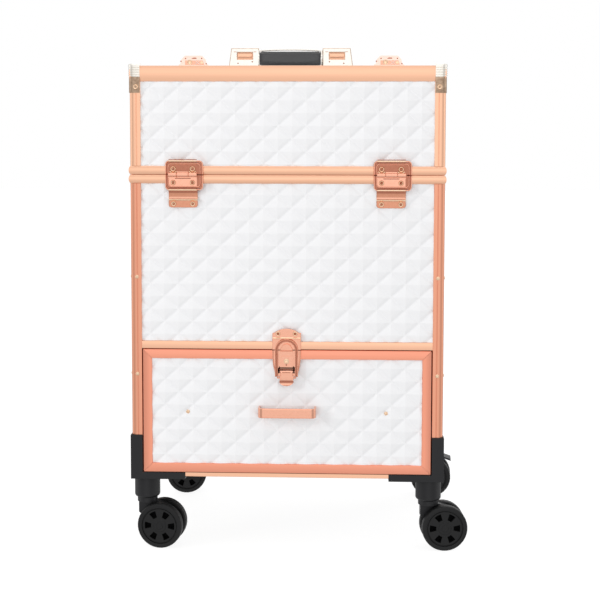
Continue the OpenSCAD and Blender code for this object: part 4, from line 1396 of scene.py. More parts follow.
@dataclass
class TopFittings:
    """The two top latches, each a sloping pressed housing with its lever, and the screws.

    Attributes:
        place: Distance of each latch from the middle.
        foot_half: Half width of a housing at its foot.
        crown_half: Half width of its crown.
        height: Its height over the lid.
        front: Distance of its front face from the middle plane.
        back: Distance of its back from the middle plane.
        lever_half: Half width of the gap for the lever.
        pin: Y of the lever's pin, and its height over the lid.
        ears: Inner and outer side of each ear that carries the pin, from the latch's middle.
        rounding: Width of the rounding on the levers and catches.
    """

    place: float = 112.0
    foot_half: float = 17.2
    crown_half: float = 11.6
    height: float = 16.6
    front: float = 25.6
    back: float = 22.4
    lever_half: float = 11.0
    pin: Flat = (-12.0, 8.0)
    ears: Flat = (7.6, 9.2)
    rounding: float = 0.35

    def _housing(self, mesh: BMesh, x: float) -> None:
        """Adds one housing: foot, sloping front with its trim, cheeks, and the ears with the lever's pin.

        Args:
            mesh: The mesh that gets it.
            x: Middle of the latch.
        """
        top, w, c, h = CASE.top, self.foot_half, self.crown_half, self.height
        plate(mesh, both_sides([(w, 0.0), (w, 1.4)]), 1.0, self.front, (x, top))
        shoulder = arc((c - 2.6, h - 2.6), 2.6, 20, 90, 4)
        crown = both_sides([(w, 1.0), (w, 6.4), (w - 1.8, 7.0), (w - 3.2, 12.4), *shoulder])
        plate(mesh, crown, self.back, self.front, (x, top))
        for e in (-1, 1):
            inside = e * (self.lever_half + 0.4)
            cheek = [(inside, 1.2), (e * (w - 0.4), 1.2), (e * (w - 0.6), 6.0), (inside, 8.0)]
            plate(mesh, cheek, 3.0, self.back + 0.2, (x, top))
        face = self.front
        window = [(12.6, 6.0), (10.6, 11.2), (-9.8, 11.2), (-9.8, 6.0)]
        plate(mesh, window, face - 0.4, face + 0.15, (x, top), index=1)
        lathe(
            mesh, [(3.0, 0.0), (3.0, 0.9), (2.3, 1.2), (1.7, 0.9), (1.3, 0.4), (0.0, 0.3)],
            (x - 4.2, -face, top + 9.0), (0, -1, 0), 24, 2,
        )
        for e in (-1, 1):
            strap = ((4.4 - 2.8 * e, 6.4), (4.4 + 2.8 * e, 11.0))
            bar(mesh, [(x + a, -face - 0.1, top + b) for a, b in strap], 1.1, 0.9)
        lathe(mesh, [(1.7, 0.0), (1.7, 0.7), (0.0, 0.9)], (x + 9.4, -face, top + 8.4), (0, -1, 0), 16, 2)
        # the slot and the four small dots are painted in the darker plating: painted shade
        slot = [(-2.4, 13.0), (4.0, 13.0), (3.0, 14.4), (-0.6, 14.4)]
        plate(mesh, slot, face - 0.4, face + 0.12, (x, top), index=3)
        for a, b in ((-9.2, 13.4), (-14.4, 10.2), (9.4, 13.4), (14.6, 7.4)):
            lathe(mesh, [(0.85, -0.3), (0.85, 0.15), (0.0, 0.2)], (x + a, -face, top + b), (0, -1, 0), 12, 3)
        (pin_y, pin_z), (near, far) = self.pin, self.ears
        ear = both_sides([(2.6, 1.2), (2.6, pin_z)])
        for e in (-1, 1):
            lathe(mesh, [(2.6, 0.0), (2.6, far - near)], (x + e * near, pin_y, top + pin_z), (e, 0, 0), 20)
            side_plate(mesh, ear, (x + e * near, x + e * far), (pin_y, top))
        lathe(mesh, [(1.2, 0.0), (1.2, 2 * far)], (x - far, pin_y, top + pin_z), (1, 0, 0), 16)

    def build(self) -> list[Piece]:
        """Builds the housings and dresses the levers, catches and screws.

        Returns:
            One piece for each node.
        """
        mesh = bmesh.new()
        for e in (-1, 1):
            self._housing(mesh, e * self.place)
        housings = finish_piece(
            mesh, "top_latch_housings", "front_lid", (PALE_PLATE, PLATE, SCREW_AND_PAINTED_HIGHLIGHT, PLATE_PAINTED_SHADE),
            ["top_latch_bases"], 35,
        )
        plated = ("top_latch_catches", "left_top_latch", "right_top_latch")
        return [
            housings, *(dress(node, PALE_PLATE, self.rounding) for node in plated),
            dress("body_screws", SCREW_AND_PAINTED_HIGHLIGHT, SCREW_EDGE),
        ]


@dataclass
class CarryHandle:
    """The carry handle: two end mounts with a window, the bail and its grip.

    Attributes:
        inner: Inner end of a mount.
        outer: Outer end of a mount at its foot.
        slope: How far the outer end leans in.
        back: Distance of a mount's back from the middle plane.
        front: Distance of its front face.
        height: Height of a mount over the lid.
        window: Inner and outer end, foot and top of a mount's window, the last two over the lid.
        grip_half: Half length of the grip.
        grip_y: Y of the grip's middle.
        pin: Y and height of the bail's pins.
        grip_z: Height of the grip's middle.
        grip_deep: Half of the grip's depth.
        grip_up: How far its top lies over its middle.
        grip_down: How far its foot lies under its middle.
    """

    inner: float = 36.3
    outer: float = 71.4
    slope: float = 3.4
    back: float = 6.0
    front: float = 30.0
    height: float = 24.6
    window: tuple[float, float, float, float] = (43.6, 61.4, 12.0, 20.2)
    grip_half: float = 34.3
    grip_y: float = -42.0
    pin: Flat = (-12.0, 538.0)
    grip_z: float = 540.7
    grip_deep: float = 8.2
    grip_up: float = 8.2
    grip_down: float = 7.8

    def _mount(self, mesh: BMesh, sx: int) -> None:
        """Adds one end mount: shell, window with its floor and strap, two dimples and three small ribs.

        Args:
            mesh: The mesh that gets it.
            sx: -1 for the left mount, 1 for the right.
        """
        x0, x1, z0, z1 = self.window
        top, face, edge = CASE.top, self.front, 0.7

        def outline(inset: float) -> list[Flat]:
            """Draws the mount's outline.

            Args:
                inset: How far it is drawn in.

            Returns:
                Points of (x, z) over the lid.
            """
            low, high, height = self.inner + inset, self.outer - inset, self.height - inset
            lean = self.slope / self.height * height
            return [(low, 0.0), (high, 0.0), (high - lean, height), (low, height)]

        hole = [(x0, z0), (x1, z0), (x1, z1), (x0, z1)]
        mouth = [(x0 - 0.6, z0 - 0.6), (x1 + 0.6, z0 - 0.6), (x1 + 0.6, z1 + 0.6), (x0 - 0.6, z1 + 0.6)]
        levels = (
            (outline(0.0), self.back), (outline(0.0), face - edge), (outline(edge), face), (mouth, face),
            (hole, face - 0.6), (hole, face - 3.4),
        )
        rings = [[mesh.verts.new((sx * x, -out, top + z)) for x, z in points] for points, out in levels]
        # the band round the face's edge and the window's walls get the dark bronze finish: painted shade
        join_rings(mesh, rings, [0, 0, 2, 0, 0, 2, 1])
        # a rolled strap lies in the window
        strap = [(sx * x, -face + 1.7, top + (z0 + z1) / 2 + 0.4) for x in (x0 + 0.9, x1 - 0.9)]
        bar(mesh, strap, 5.6, 3.0, steps=16, index=1)
        # the two dimples and three small ribs are painted in the darker plating: painted shade
        for x, z in ((x0 + 0.4, z0 - 2.6), (x1 - 1.0, z0 - 4.4)):
            lathe(mesh, [(0.8, -0.2), (0.8, 0.15), (0.0, 0.25)], (sx * x, -face, top + z), (0, -1, 0), 12, 3)
        for x, z in ((x0 - 2.6, 20.6), (x1 + 2.2, 20.6), (x0 + 5.0, 4.4)):
            bar(mesh, [(sx * (x + a), -face, top + z) for a in (-1.6, 1.6)], 0.6, 0.5, index=3)

    def _bail(self) -> Piece:
        """Builds the bail: pins, arms and the thin strap that arches over the grip.

        Returns:
            Its piece.
        """
        mesh = bmesh.new()
        pin_y, pin_z = self.pin
        for e in (-1, 1):
            lathe(mesh, [(3.0, 0.0), (3.0, 8.4)], (e * (self.inner - 2.4), pin_y, pin_z), (e, 0, 0), 20)
            arm = [*arc((pin_y, pin_z), 5.8, -70, 70), *arc((self.grip_y, self.grip_z), 7.0, 110, 250, 10)]
            side_plate(mesh, arm, (e * (self.grip_half + 0.2), e * (self.grip_half + 1.6)))
        reach, steps, thick = self.grip_half + 0.9, 24, 1.6
        strap = [(-reach, self.grip_y, self.grip_z + 2.0)]
        for k in range(steps + 1):
            along = 2 * k / steps - 1
            height = self.grip_up + thick / 2 + 1.2 * (1 - along**2)
            strap.append((reach * along, self.grip_y, self.grip_z + height))
        strap.append((reach, self.grip_y, self.grip_z + 2.0))
        bar(mesh, strap, thick, 11.0, power=4.0)
        return finish_piece(
            mesh, "handle_bail_strap", "carry_handle", (CHAMPAGNE,), ["handle_bail"], 40,
            (0.3, 40),
        )

    def _grip(self) -> Piece:
        """Builds the grip: a squarish moulding with a shallow scoop along its front.

        Returns:
            Its piece.
        """
        mesh = bmesh.new()
        steps, around = 28, 32
        rings = []
        for i in range(steps + 1):
            along = 2 * i / steps - 1
            end = max(0.0, abs(along) - 0.97) / 0.03
            scale = 1 - 0.12 * end
            ring = []
            for k in range(around):
                t = math.tau * k / around
                c, s = math.cos(t), math.sin(t)
                y = math.copysign(abs(c) ** 0.62, c) * self.grip_deep * scale
                z = math.copysign(abs(s) ** 0.55, s) * (self.grip_up if s > 0 else self.grip_down) * scale
                if c < 0:
                    y += 1.1 * (1 - along * along) * math.exp(-(((z - 1.2) / 2.6) ** 2))
                ring.append(mesh.verts.new((self.grip_half * along, self.grip_y + y, self.grip_z + z)))
            rings.append(ring)
        join_rings(mesh, rings)
        return finish_piece(
            mesh, "handle_moulded_grip", "carry_handle", (GRIP,), ["handle_grip"], 50
        )

    def build(self) -> list[Piece]:
        """Builds the mounts, the bail and the grip.

        Returns:
            Their pieces.
        """
        mesh = bmesh.new()
        for sx in (-1, 1):
            self._mount(mesh, sx)
        mounts = finish_piece(
            mesh, "handle_end_mounts", "front_lid", (CHAMPAGNE, EDGING, BRONZE_AND_PAINTED_SHADE, PLATE_PAINTED_SHADE),
            ["handle_mounts"], 20, (0.3, 25),
        )
        return [mounts, self._bail(), self._grip()]


@dataclass
class DrawLatch:
    """The draw latch over the drawer: catch plate, shield, key plate, loop and finger tab.

    Attributes:
        face: Distance of the drawer's face from the middle plane.
        thick: Thickness of the plates.
        half: Half of their width.
        split: Foot of the catch plate.
        drawer_top: Top of the shield.
        pivot: Height of the tab's pivot.
        pivot_out: Distance of that pivot from the middle plane.
        loop_z: Height of the loop's pins.
        loop_half: Half width of the loop, at its middle line.
        loop_out: Distance of the loop's middle line from the middle plane.
        shadow_half: Half width of the dark strip of painted shadow behind the tab.
        ears: Inner and outer side of each ear that carries the tab's pin, from the middle.
    """

    face: float = 121.0
    thick: float = 2.0
    half: float = 15.5
    split: float = 222.7
    drawer_top: float = 222.0
    pivot: float = 199.5
    pivot_out: float = 125.3
    loop_z: float = 192.5
    loop_half: float = 10.9
    loop_out: float = 125.6
    shadow_half: float = 8.2
    ears: Flat = (7.7, 9.2)

    def _catch(self) -> Piece:
        """Builds the plate on the cross rail, with its fold line, rivets and catch post.

        Returns:
            Its piece.
        """
        mesh = bmesh.new()
        half, foot = self.half, (0, self.split)
        front = self.face + self.thick
        dome = arc((0, 1.0), 22.0, 45.2, 134.8, 14)
        plate(mesh, [(half, 0.0), *dome, (-half, 0.0)], self.face - 1, front, foot)
        plate(mesh, both_sides([(half, 8.3), (half, 18)]), self.face - 2.5, self.face - 0.9, foot)
        # the fold line is a pale bar: painted highlight
        bar(mesh, [(e * half, -front, self.split + 12.7) for e in (-0.97, 0.97)], 1.7, 1.8, index=2)
        for e in (-1, 1):
            rivet(mesh, e * 9.2, self.split + 17.6, front - 0.1, 2.7, 1.9, index=2)
        post = [(6.6, 0.0), (6.6, 1.2), *arc((0, 1.2), 5.6, 18, 162), (-6.6, 1.2), (-6.6, 0.0)]
        plate(mesh, post, front - 0.5, front + 3.9, foot)
        return finish_piece(
            mesh, "latch_catch_plate", "body", (PLATE, PLATE_PAINTED_SHADE, SCREW_AND_PAINTED_HIGHLIGHT),
            ["drawer_latch_catch"], edge=(0.35, 35),
        )

    def _shield(self) -> Piece:
        """Builds the shield on the drawer, the tab's ears and pin, the key plate and a dark strip of painted
        shadow.

        Returns:
            Its piece.
        """
        mesh = bmesh.new()
        front, (near, far) = self.face + self.thick, self.ears
        side = [
            (15.5, 0.0), (15.4, -8.0), (15.0, -13.0), (14.3, -18.0), (13.2, -22.5), (11.9, -26.2),
            (11.3, -28.2),
        ]
        plate(mesh, both_sides(side), self.face - 0.4, front, (0, self.drawer_top))
        backing = both_sides([(10, -26.5), (10, -10.2)])
        plate(mesh, backing, self.face - 1.5, self.face, (0, self.drawer_top))
        ear = [(2.6, -2.0), (0, -2.0), *arc((0, 0), 2.0, 270, 90, 6), (2.6, 2.0)]
        for e in (-1, 1):
            bar(mesh, [(e * (x - 0.7), -front - 0.2, self.drawer_top + z) for x, z in side], 1.3, 1.6)
            side_plate(mesh, ear, (e * near, e * far), (-self.pivot_out, self.pivot))
        lathe(mesh, [(0.8, 0), (0.8, 2 * far)], (-far, -self.pivot_out, self.pivot), (1, 0, 0), 12)
        # the key plate in two steps, with the keyhole's ring and slot on it
        for half, low, high, back, out in ((7, 2.7, 22.0, -0.5, 3.6), (5.6, 5.2, 17.0, 3.5, 4.3)):
            step = both_sides([(half, low), (half, high)])
            plate(mesh, step, front + back, front + out, (0, self.pivot))
        ring = [(2.9, 0), (2.9, 0.5), (2.4, 0.8), (2.0, 0.8), (1.8, 0.3), (0, 0.3)]
        lathe(mesh, ring, (0, -front - 4.2, self.pivot + 11.4), (0, -1, 0), 24, 2)
        # the keyhole's slot is painted in the darker plating: painted shade
        slot = both_sides([(0.7, -3.0), (0.7, 0.6)])
        plate(mesh, slot, front + 4.2, front + 4.7, (0, self.pivot + 9.5), index=1)
        # a dark strip behind the tab paints the shadow of the gap round the tab's top as a thin dark line
        h = self.shadow_half - 1.6
        shadow_line = both_sides([(h + 1.6, -1.6), (h + 1.6, 2.4), *arc((h, 2.4), 1.6, 0, 90, 4)])
        bar(mesh, [(x, -self.pivot_out - 1.8, self.pivot + z) for x, z in shadow_line], 1.2, 2.8, index=3)
        return finish_piece(
            mesh, "latch_shield", "drawer", (PLATE, PLATE_PAINTED_SHADE, SCREW_AND_PAINTED_HIGHLIGHT, SHADOW_GAP_PAINT),
            ["drawer_latch_base"], edge=(0.35, 35),
        )

    def _loop(self) -> Piece:
        """Builds the arched loop and its two pins.

        Returns:
            Its piece.
        """
        mesh = bmesh.new()
        # a pressed channel: two raised edges with a groove between them, painted in the darker plating as
        # painted shade
        for wide, deep, offset, index in ((2.6, 1.5, 0.0, 1), (1.0, 2.6, -1.15, 0), (1.0, 2.6, 1.15, 0)):
            w = self.loop_half + offset
            legs = [(w, self.loop_z + 10), (w, self.loop_z + 1.4)]
            path = [*((-x, z) for x, z in reversed(legs)), *arc((0, self.split - 0.2), w, 180, 0, 16), *legs]
            bar(mesh, [(x, -self.loop_out, z) for x, z in path], wide, deep, index=index)
        for e in (-1, 1):
            start = e * (self.loop_half - 0.5)
            lathe(mesh, [(0.9, 0), (0.9, 6.1)], (start, -self.pivot_out, self.loop_z), (-e, 0, 0), 12)
        return finish_piece(
            mesh, "latch_loop", "drawer_latch_loop", (PLATE, PLATE_PAINTED_SHADE), ["drawer_latch_loop"]
        )

    def _tab(self) -> Piece:
        """Builds the finger tab: rolled knuckle, cheeks and a tongue that flares to a curled lip.

        Returns:
            Its piece.
        """
        mesh = bmesh.new()
        y = self.pivot_out
        lathe(mesh, [(1.5, 0), (1.9, 0.4), (1.9, 14.6), (1.5, 15)], (-7.5, -y, self.pivot), (1, 0, 0), 20)
        # height from the pivot, half width, distance out
        stations = (
            (2.1, 5.9, 0.9), (1.4, 6.5, 1.6), (0.4, 6.6, 2.0), (-1.2, 6.6, 2.0), (-8.4, 6.7, 2.0),
            (-9.8, 7.2, 1.8), (-10.6, 7.7, 1.3), (-11.4, 7.8, 1.5), (-12.2, 7.5, 2.4), (-13.4, 6.5, 2.8),
            (-14.6, 4.9, 2.7), (-15.4, 3.2, 2.4), (-15.8, 1.6, 2.0),
        )
        rows = []
        for z, w, out in stations:
            across = ((-w, 0.1), (-w, out - 0.4), (0.4 - w, out), (w - 0.4, out), (w, out - 0.4), (w, 0.1))
            rows.append([mesh.verts.new((a, -y - b, self.pivot + z)) for a, b in across])
        # the waist above the lip is deep in shade
        join_rings(mesh, rows, [0] + [int(5 <= j <= 7) for j in range(len(rows) - 1)] + [0])
        # the crease under the knuckle is painted in the darker plating: painted shade
        bar(mesh, [(e * 4.6, -y - 1.9, self.pivot - 0.9) for e in (-1, 1)], 0.8, 0.8, index=1)
        plate(mesh, both_sides([(7.4, -9.4), (7.4, -4.6)]), y - 1.7, y + 0.4, (0, self.pivot))
        return finish_piece(
            mesh, "latch_finger_tab", "drawer_latch_lever", (PLATE, PLATE_PAINTED_SHADE),
            ["drawer_latch_lever"], 40,
        )

    def build(self) -> list[Piece]:
        """Builds the whole latch."""
        return [self._catch(), self._shield(), self._loop(), self._tab()]


@dataclass
class Drawer:
    """The drawer: mitred frame, box, pull, slides and screws.

    Attributes:
        face: Y of the frame's face.
        half: Half of the frame's width.
        low: Foot of the frame.
        height: Height of the frame.
        bar: Width of a frame bar.
        depth: Depth of a frame bar.
        gap: Width of the joint left at each mitre, for one bar.
        board: Y of the board that the pull stands on.
        pull: Half length, height, reach, corner radius and thickness of the pull.
        pull_at: X and height of the pull's middle.
    """

    face: float = -121.0
    half: float = 157.0
    low: float = 86.0
    height: float = 136.0
    bar: float = 10.0
    depth: float = 10.0
    gap: float = 0.14
    board: float = -119.5
    pull: tuple[float, float, float, float, float] = (31.5, 10.8, 14.0, 5.5, 2.2)
    pull_at: Flat = (0.7, 154.9)

    def build(self) -> list[Piece]:
        """Builds the frame and the pull and dresses the rest.

        Returns:
            One piece for each node.
        """
        return [
            self._frame(), self._pull(), dress("drawer_box", FLOCK, 0.8), dress("drawer_slides", ZINC),
            dress("drawer_screws", SCREW_AND_PAINTED_HIGHLIGHT, SCREW_EDGE),
        ]

    def _frame(self) -> Piece:
        """Builds the four mitred bars of the drawer's frame.

        Returns:
            Its piece.
        """
        mesh = bmesh.new()
        middle, h = self.low + self.height / 2, self.height / 2
        bar, deep = self.bar, self.depth
        section = [
            (0.0, deep), (0.0, 1.0), (0.3, 0.3), (1.0, 0.0), (bar - 0.8, 0.0), (bar - 0.25, 0.2), (bar, 0.8),
            (bar, deep),
        ]
        # each bar along its own way: where it lies from the frame's middle, and its half length
        for (x, z), reach in (((0, -1), self.half), ((0, 1), self.half), ((-1, 0), h), ((1, 0), h)):
            Run(
                (x * self.half, self.face, middle + z * h), (-z, 0, x), (-x, 0, -z), section,
                (reach - self.gap,) * 2, (1, 1), up=(0, 1, 0),
            ).add_to(mesh)
        return finish_piece(
            mesh, "drawer_frame_bars", "drawer", (DRAWER_EDGING,), ["drawer_front_frame"]
        )

    def _pull(self) -> Piece:
        """Builds the bow pull: one flat strap with rounded bends and turned-in feet.

        Returns:
            Its piece.
        """
        half, height, reach, radius, thick = self.pull
        x, z = self.pull_at
        radius -= thick / 2
        side = half - thick / 2
        front = self.board - reach + thick / 2
        bend = arc((side - radius, front + radius), radius, 0, -90, 8)
        path = both_sides([(side, self.board + 0.2), (side, front + radius + 0.6), *bend])
        mesh = bmesh.new()
        bar(mesh, [(x + u, v, z) for u, v in path], thick, height, (0, 0, 1), steps=16, power=7.0)
        return finish_piece(
            mesh, "drawer_bow_pull", "drawer", (PLATE,), ["drawer_pull"], 35, (0.25, 35)
        )


@dataclass
class Interior:
    """What shows when the lid and drawer are open: trays, arms, floors and runners.

    Attributes:
        tray_edge: Rounding of the trays' edges.
        floor_edge: Rounding of the floor boards' edges.
        steel_edge: Rounding of the edges of arms, brackets and runners.
    """

    tray_edge: float = 0.6
    floor_edge: float = 0.5
    steel_edge: float = 0.25

    def build(self) -> list[Piece]:
        """Dresses the inside.

        Returns:
            The nodes' objects.
        """
        halves = ("front", "rear")
        trays = [f"{half}_{level}_tray" for half in halves for level in ("lower", "upper")]
        arms = [f"{half}_{row}_arms" for half in halves for row in ("outer", "inner")]
        return [
            *(dress(node, FLOCK, self.tray_edge) for node in trays),
            *(dress(node, ZINC, self.steel_edge) for node in (*arms, "arm_brackets", "drawer_runners")),
            dress("floor_boards", FLOCK, self.floor_edge),
        ]


@dataclass
class TrolleyHandle:
    """The telescopic trolley handle on the back.

    Attributes:
        parts: Each part, its finish and the rounding of its edges.
    """

    parts: tuple[tuple[str, Finish, float], ...] = (
        ("outer_tubes", NYLON, 0.6), ("middle_tubes", ZINC, 0.3), ("inner_tubes", ZINC, 0.3),
        ("grip", NYLON, 1.2), ("button", ZINC, 0.4),
    )

    def build(self) -> list[Piece]:
        """Dresses each part."""
        return [dress(f"trolley_{part}", finish, width) for part, finish, width in self.parts]


@dataclass
class Casters:
    """The foot brackets and the four twin-wheel casters.

    Attributes:
        swivel: Distance of each swivel from the two middle planes.
        trail: Distance of the axle behind the swivel.
        radius: Radius of a wheel, and height of its axle.
        inner: Distance of a wheel's inner side from the caster's middle.
        width: Width of one wheel.
        window: Inner and outer radius of the six openings.
        window_half: Half of an opening's angle, in degrees.
        floor: How deep the openings are.
        turned: Each caster, its side along X and Y, and its angle at rest in degrees.
        edge: Rounding of the edges of brackets and forks.
        brake_edge: Rounding of the brakes' edges.
    """

    swivel: Flat = (155.5, 104.0)
    trail: float = 17.0
    radius: float = 25.0
    inner: float = 4.5
    width: float = 10.0
    window: Flat = (9.6, 16.9)
    window_half: float = 13.5
    floor: float = 7.5
    turned: tuple[tuple[str, int, int, float], ...] = (
        ("front_left", -1, -1, -7), ("front_right", 1, -1, 5), ("rear_left", -1, 1, 4),
        ("rear_right", 1, 1, -4),
    )
    edge: float = 0.8
    brake_edge: float = 0.4

    def _profile(self) -> list[Flat]:
        """Draws the section of a wheel.

        Returns:
            Points of (radius, depth under the outer face), from the hub's middle round to the inner side.
        """
        r, w = self.radius, self.width
        hub = [(3.4, 0.1), (3.8, 0.6), (6.6, 0.7), (7.2, 1.2)]
        web = [self.window[0], (self.window[0] + self.window[1]) / 2, self.window[1]]
        rim = [(18.7, 1.2), (19.1, 1.9), (19.8, 1.9), (20.2, 0.5), (22.2, 0.0)]
        tread = [(r - 0.9, 0.4), (r - 0.1, 1.5), (r, 2.6), (r, w - 1.4), (r - 1.2, w)]
        return [*hub, *((v, 1.2) for v in web), *rim, *tread, (4.0, w)]

    def _wheel(self, mesh: BMesh, centre: Vector, axis: Vector) -> None:
        """Adds one wheel.

        Args:
            mesh: The mesh that gets it.
            centre: Middle of its outer face.
            axis: Unit direction out of that face.
        """
        turn = axis.to_track_quat("Z", "Y").to_matrix() @ Matrix.Rotation(math.radians(-60), 3, "Z")
        half, spoke = self.window_half, 60 - 2 * self.window_half
        cuts = [-half, -half / 3, half / 3, half, half + spoke / 3, half + 2 * spoke / 3]
        angles = [60 * n + a for n in range(6) for a in cuts]
        profile, count = self._profile(), len(angles)
        seen: dict[tuple[int, int, bool], BMVert] = {}

        def vert(j: int, k: int, sunk: bool) -> BMVert:
            """Finds or makes the vertex that the cells round it share.

            Args:
                j: Its ring.
                k: Its place round the ring.
                sunk: Whether it lies on an opening's floor, not on the face.

            Returns:
                The vertex.
            """
            key = (j, k % count, sunk)
            if key not in seen:
                r, depth = profile[j]
                t = math.radians(angles[k % count])
                depth = self.floor if sunk else depth
                seen[key] = mesh.verts.new(centre + turn @ Vector((r * math.cos(t), r * math.sin(t), -depth)))
            return seen[key]

        def is_open(j: int, k: int) -> bool:
            """Tells whether the cell past a ring and an angle lies in an opening."""
            inside = self.window[0] <= profile[j][0] < self.window[1] and j + 1 < len(profile)
            return inside and k % count % 6 < 3

        def wall(one: tuple[int, int], two: tuple[int, int]) -> None:
            """Adds the wall of an opening between two places on its edge."""
            add_face(mesh, (vert(*one, False), vert(*two, False), vert(*two, True), vert(*one, True)))

        for j in range(len(profile) - 1):
            for k in range(count):
                sunk = is_open(j, k)
                cell = ((j, k), (j, k + 1), (j + 1, k + 1), (j + 1, k))
                # the openings' floors get the darker rubber: painted shade
                add_face(mesh, [vert(*place, sunk) for place in cell], int(sunk))
                if sunk != is_open(j, k - 1):
                    wall((j, k), (j + 1, k))
                if j and sunk != is_open(j - 1, k):
                    wall((j, k), (j, k + 1))
        for j in (0, len(profile) - 1):
            add_face(mesh, [vert(j, k, False) for k in range(count)])

    def _pair(self, corner: str, sx: int, sy: int, turned: float) -> Piece:
        """Builds the twin wheels of one caster, at its angle at rest.

        Args:
            corner: The caster's name.
            sx: -1 at the left, 1 at the right.
            sy: -1 at the front, 1 at the back.
            turned: Its angle, in degrees.

        Returns:
            Their piece.
        """
        t = math.radians(turned)
        along, axle = Vector((math.cos(t), math.sin(t), 0)), Vector((-math.sin(t), math.cos(t), 0))
        middle = Vector((sx * self.swivel[0], sy * self.swivel[1], self.radius)) + along * self.trail
        mesh = bmesh.new()
        for e in (-1, 1):
            self._wheel(mesh, middle + axle * e * (self.inner + self.width), axle * e)
        node = f"{corner}_wheels"
        return finish_piece(mesh, f"{corner}_twin_wheels", node, (TYRE, TYRE_PAINTED_SHADE), [node], 30)

    def build(self) -> list[Piece]:
        """Builds the wheels and dresses brackets, forks and brakes.

        Returns:
            One piece for each node.
        """
        made = [dress("foot_brackets", NYLON, self.edge)]
        for corner, sx, sy, turned in self.turned:
            made += [dress(f"{corner}_fork", NYLON, self.edge), self._pair(corner, sx, sy, turned)]
        made += [dress(f"rear_{side}_brake", NYLON, self.brake_edge) for side in ("left", "right")]
        return made


# ---------- studio ----------


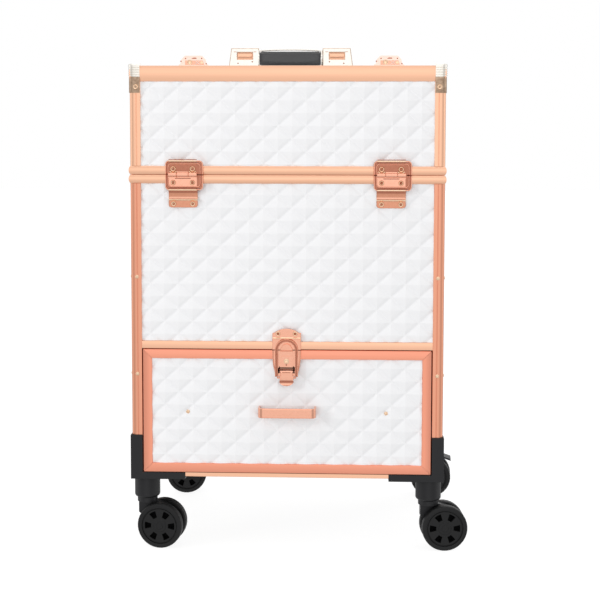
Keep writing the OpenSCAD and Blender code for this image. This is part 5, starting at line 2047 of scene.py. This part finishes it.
@dataclass
class Studio:
    """Plain pale floor, soft light and the camera.

    Attributes:
        eye: The camera's place, in millimetres.
        yaw: Its turn to the left of +Y, in degrees.
        pitch: How far it looks down, in degrees.
        roll: How far it leans, in degrees.
        lens: Focal length on a 36 mm sensor.
        shift: Vertical lens shift.
        floor_half: Half of the floor's width.
        floor_glow: Strength of the floor's own light, which hides its far edge.
        mirrored: Strength of the sky that metal mirrors.
        soft: Strength of the sky's plain light.
        sky: Brightness of the mirrored sky by height, from straight down (0) to straight up (1).
        corners: How far off the axes the mirrored sky starts and ends to dim, and what it dims to.
        boxes: Name, place, size and power of each soft box.
    """

    eye: Point = (63.8, -1435.1, 452.5)
    yaw: float = 2.16
    pitch: float = 4.1
    roll: float = 0.1
    lens: float = 73.47
    shift: float = -0.125
    floor_half: float = 9000.0
    floor_glow: float = 0.9
    mirrored: float = 2.1
    soft: float = 0.78
    sky: tuple[Flat, ...] = (
        (0.0, 0.34), (0.15, 0.4), (0.3, 0.48), (0.42, 0.5), (0.5, 0.6), (0.54, 0.62), (0.6, 0.6), (0.7, 0.62),
        (0.8, 0.46), (1.0, 0.46),
    )
    corners: Point = (0.15, 0.42, 0.6)
    boxes: tuple[tuple[str, Point, float, float], ...] = (
        ("key", (-2600, -1700, 1250), 1000, 24),
        ("fill", (500, -3200, 700), 1400, 12),
        ("back_key", (2300, 2000, 1300), 1100, 24),
        ("overhead", (0, 0, 3000), 2600, 18),
    )

    def build(self) -> None:
        """Makes the whole studio."""
        self._world()
        self._floor()
        self._camera()
        for name, place, size, power in self.boxes:
            self._soft_box(name, place, size, power)
        bpy.context.scene.view_settings.view_transform = "Standard"

    def _camera(self) -> None:
        """Makes the camera."""
        yaw, pitch = math.radians(self.yaw), math.radians(self.pitch)
        ahead = Vector((-math.sin(yaw) * math.cos(pitch), math.cos(yaw) * math.cos(pitch), -math.sin(pitch)))
        right = Vector((math.cos(yaw), math.sin(yaw), 0))
        lean = Matrix.Rotation(math.radians(self.roll), 3, "Z")
        turn = (Matrix((right, right.cross(ahead), -ahead)).transposed() @ lean).to_4x4()
        data = bpy.data.cameras.new("camera")
        data.lens, data.sensor_width, data.shift_y = self.lens, 36.0, self.shift
        camera = bpy.data.objects.new("camera", data)
        camera.matrix_world = Matrix.Translation(Vector(self.eye) * MM) @ turn
        bpy.context.scene.collection.objects.link(camera)
        bpy.context.scene.camera = camera

    def _soft_box(self, name: str, place: Point, size: float, power: float) -> None:
        """Makes one square area light that faces the middle of the case.

        Args:
            name: Its name.
            place: Its place, in millimetres.
            size: Its width, in millimetres.
            power: Its power, in watts.
        """
        data = bpy.data.lights.new(name, "AREA")
        data.size, data.energy = size * MM, power
        lamp = bpy.data.objects.new(name, data)
        lamp.location = Vector(place) * MM
        # polished metal mirrors the plain sky of the studio, not the lamps
        lamp.visible_glossy = name == "overhead"
        lamp.rotation_euler = (Vector((0, 0, AIM)) - lamp.location).to_track_quat("-Z", "Y").to_euler()
        bpy.context.scene.collection.objects.link(lamp)

    def _floor(self) -> None:
        """Makes the floor, which lights nothing and isn't mirrored."""
        mesh = bmesh.new()
        h = self.floor_half
        mesh.faces.new([mesh.verts.new((x * MM, y * MM, 0)) for x, y in ((-h, -h), (h, -h), (h, h), (-h, h))])
        data = bpy.data.meshes.new("studio_floor")
        mesh.to_mesh(data)
        mesh.free()
        paint = bpy.data.materials.new("painted_floor_white")
        paint.use_nodes = True
        shader = paint.node_tree.nodes["Principled BSDF"]
        shader.inputs["Base Color"].default_value = linear("#707070")
        shader.inputs["Roughness"].default_value = 0.8
        shader.inputs["Emission Color"].default_value = (1, 1, 1, 1)
        shader.inputs["Emission Strength"].default_value = self.floor_glow
        data.materials.append(paint)
        floor = bpy.data.objects.new("studio_floor", data)
        floor.visible_glossy = floor.visible_diffuse = False
        bpy.context.scene.collection.objects.link(floor)

    def _world(self) -> None:
        """Makes the sky of the studio: brightest just above eye height and dim in four corners."""
        world = bpy.data.worlds.new("studio")
        world.use_nodes = True
        tree = world.node_tree
        tree.nodes.clear()
        ray = add_node(tree, "ShaderNodeTexCoord")
        split = add_node(tree, "ShaderNodeSeparateXYZ", {0: ray.outputs["Generated"]})
        height = add_node(
            tree, "ShaderNodeMapRange", {"Value": split.outputs["Z"], "From Min": -1.0, "From Max": 1.0}
        )
        ramp = add_node(tree, "ShaderNodeValToRGB", {0: height.outputs[0]})
        ramp.color_ramp.elements[0].position, ramp.color_ramp.elements[1].position = 0.0, 1.0
        for place, _ in self.sky[1:-1]:
            ramp.color_ramp.elements.new(place)
        for stop, (_, level) in zip(ramp.color_ramp.elements, self.sky):
            stop.color = (level, level, level, 1)
        start, end, dimmed = self.corners
        aslant = add_node(
            tree, "ShaderNodeMath", {0: split.outputs["X"], 1: split.outputs["Y"]}, operation="MULTIPLY"
        )
        corner = add_node(tree, "ShaderNodeMath", {0: aslant.outputs[0]}, operation="ABSOLUTE")
        dim = add_node(
            tree, "ShaderNodeMapRange",
            {"Value": corner.outputs[0], "From Min": start, "From Max": end, "To Min": 1.0, "To Max": dimmed},
        )
        strength = add_node(
            tree, "ShaderNodeMath", {0: dim.outputs[0], 1: self.mirrored}, operation="MULTIPLY"
        )
        mirrored = add_node(
            tree, "ShaderNodeBackground", {"Color": ramp.outputs[0], "Strength": strength.outputs[0]}
        )
        soft = add_node(tree, "ShaderNodeBackground", {"Color": (1, 1, 1, 1), "Strength": self.soft})
        white = add_node(tree, "ShaderNodeBackground", {"Color": (1, 1, 1, 1), "Strength": 1.0})
        path = add_node(tree, "ShaderNodeLightPath")
        # glossy rays see the mirrored sky, the camera sees plain white, and the rest is lit by the soft sky
        seen = soft
        for kind, sky in (("Is Glossy Ray", mirrored), ("Is Camera Ray", white)):
            inputs = {0: path.outputs[kind], 1: seen.outputs[0], 2: sky.outputs[0]}
            seen = add_node(tree, "ShaderNodeMixShader", inputs)
        add_node(tree, "ShaderNodeOutputWorld", {"Surface": seen.outputs[0]})
        bpy.context.scene.world = world


def main() -> None:
    """Builds the studio and every sub-assembly, and reports each piece."""
    logging.basicConfig(level=logging.INFO, format="%(name)s: %(message)s")
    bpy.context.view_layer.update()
    Studio().build()
    assemblies = (
        Boards(), Edging(), Hinges(), CornerCaps(), TopFittings(), CarryHandle(), Drawer(), DrawLatch(),
        Interior(), TrolleyHandle(), Casters(),
    )
    for assembly in assemblies:
        for piece in assembly.build():
            LOG.info("%s: %s", type(assembly).__name__, piece.name)


if __name__ == "__main__":
    main()
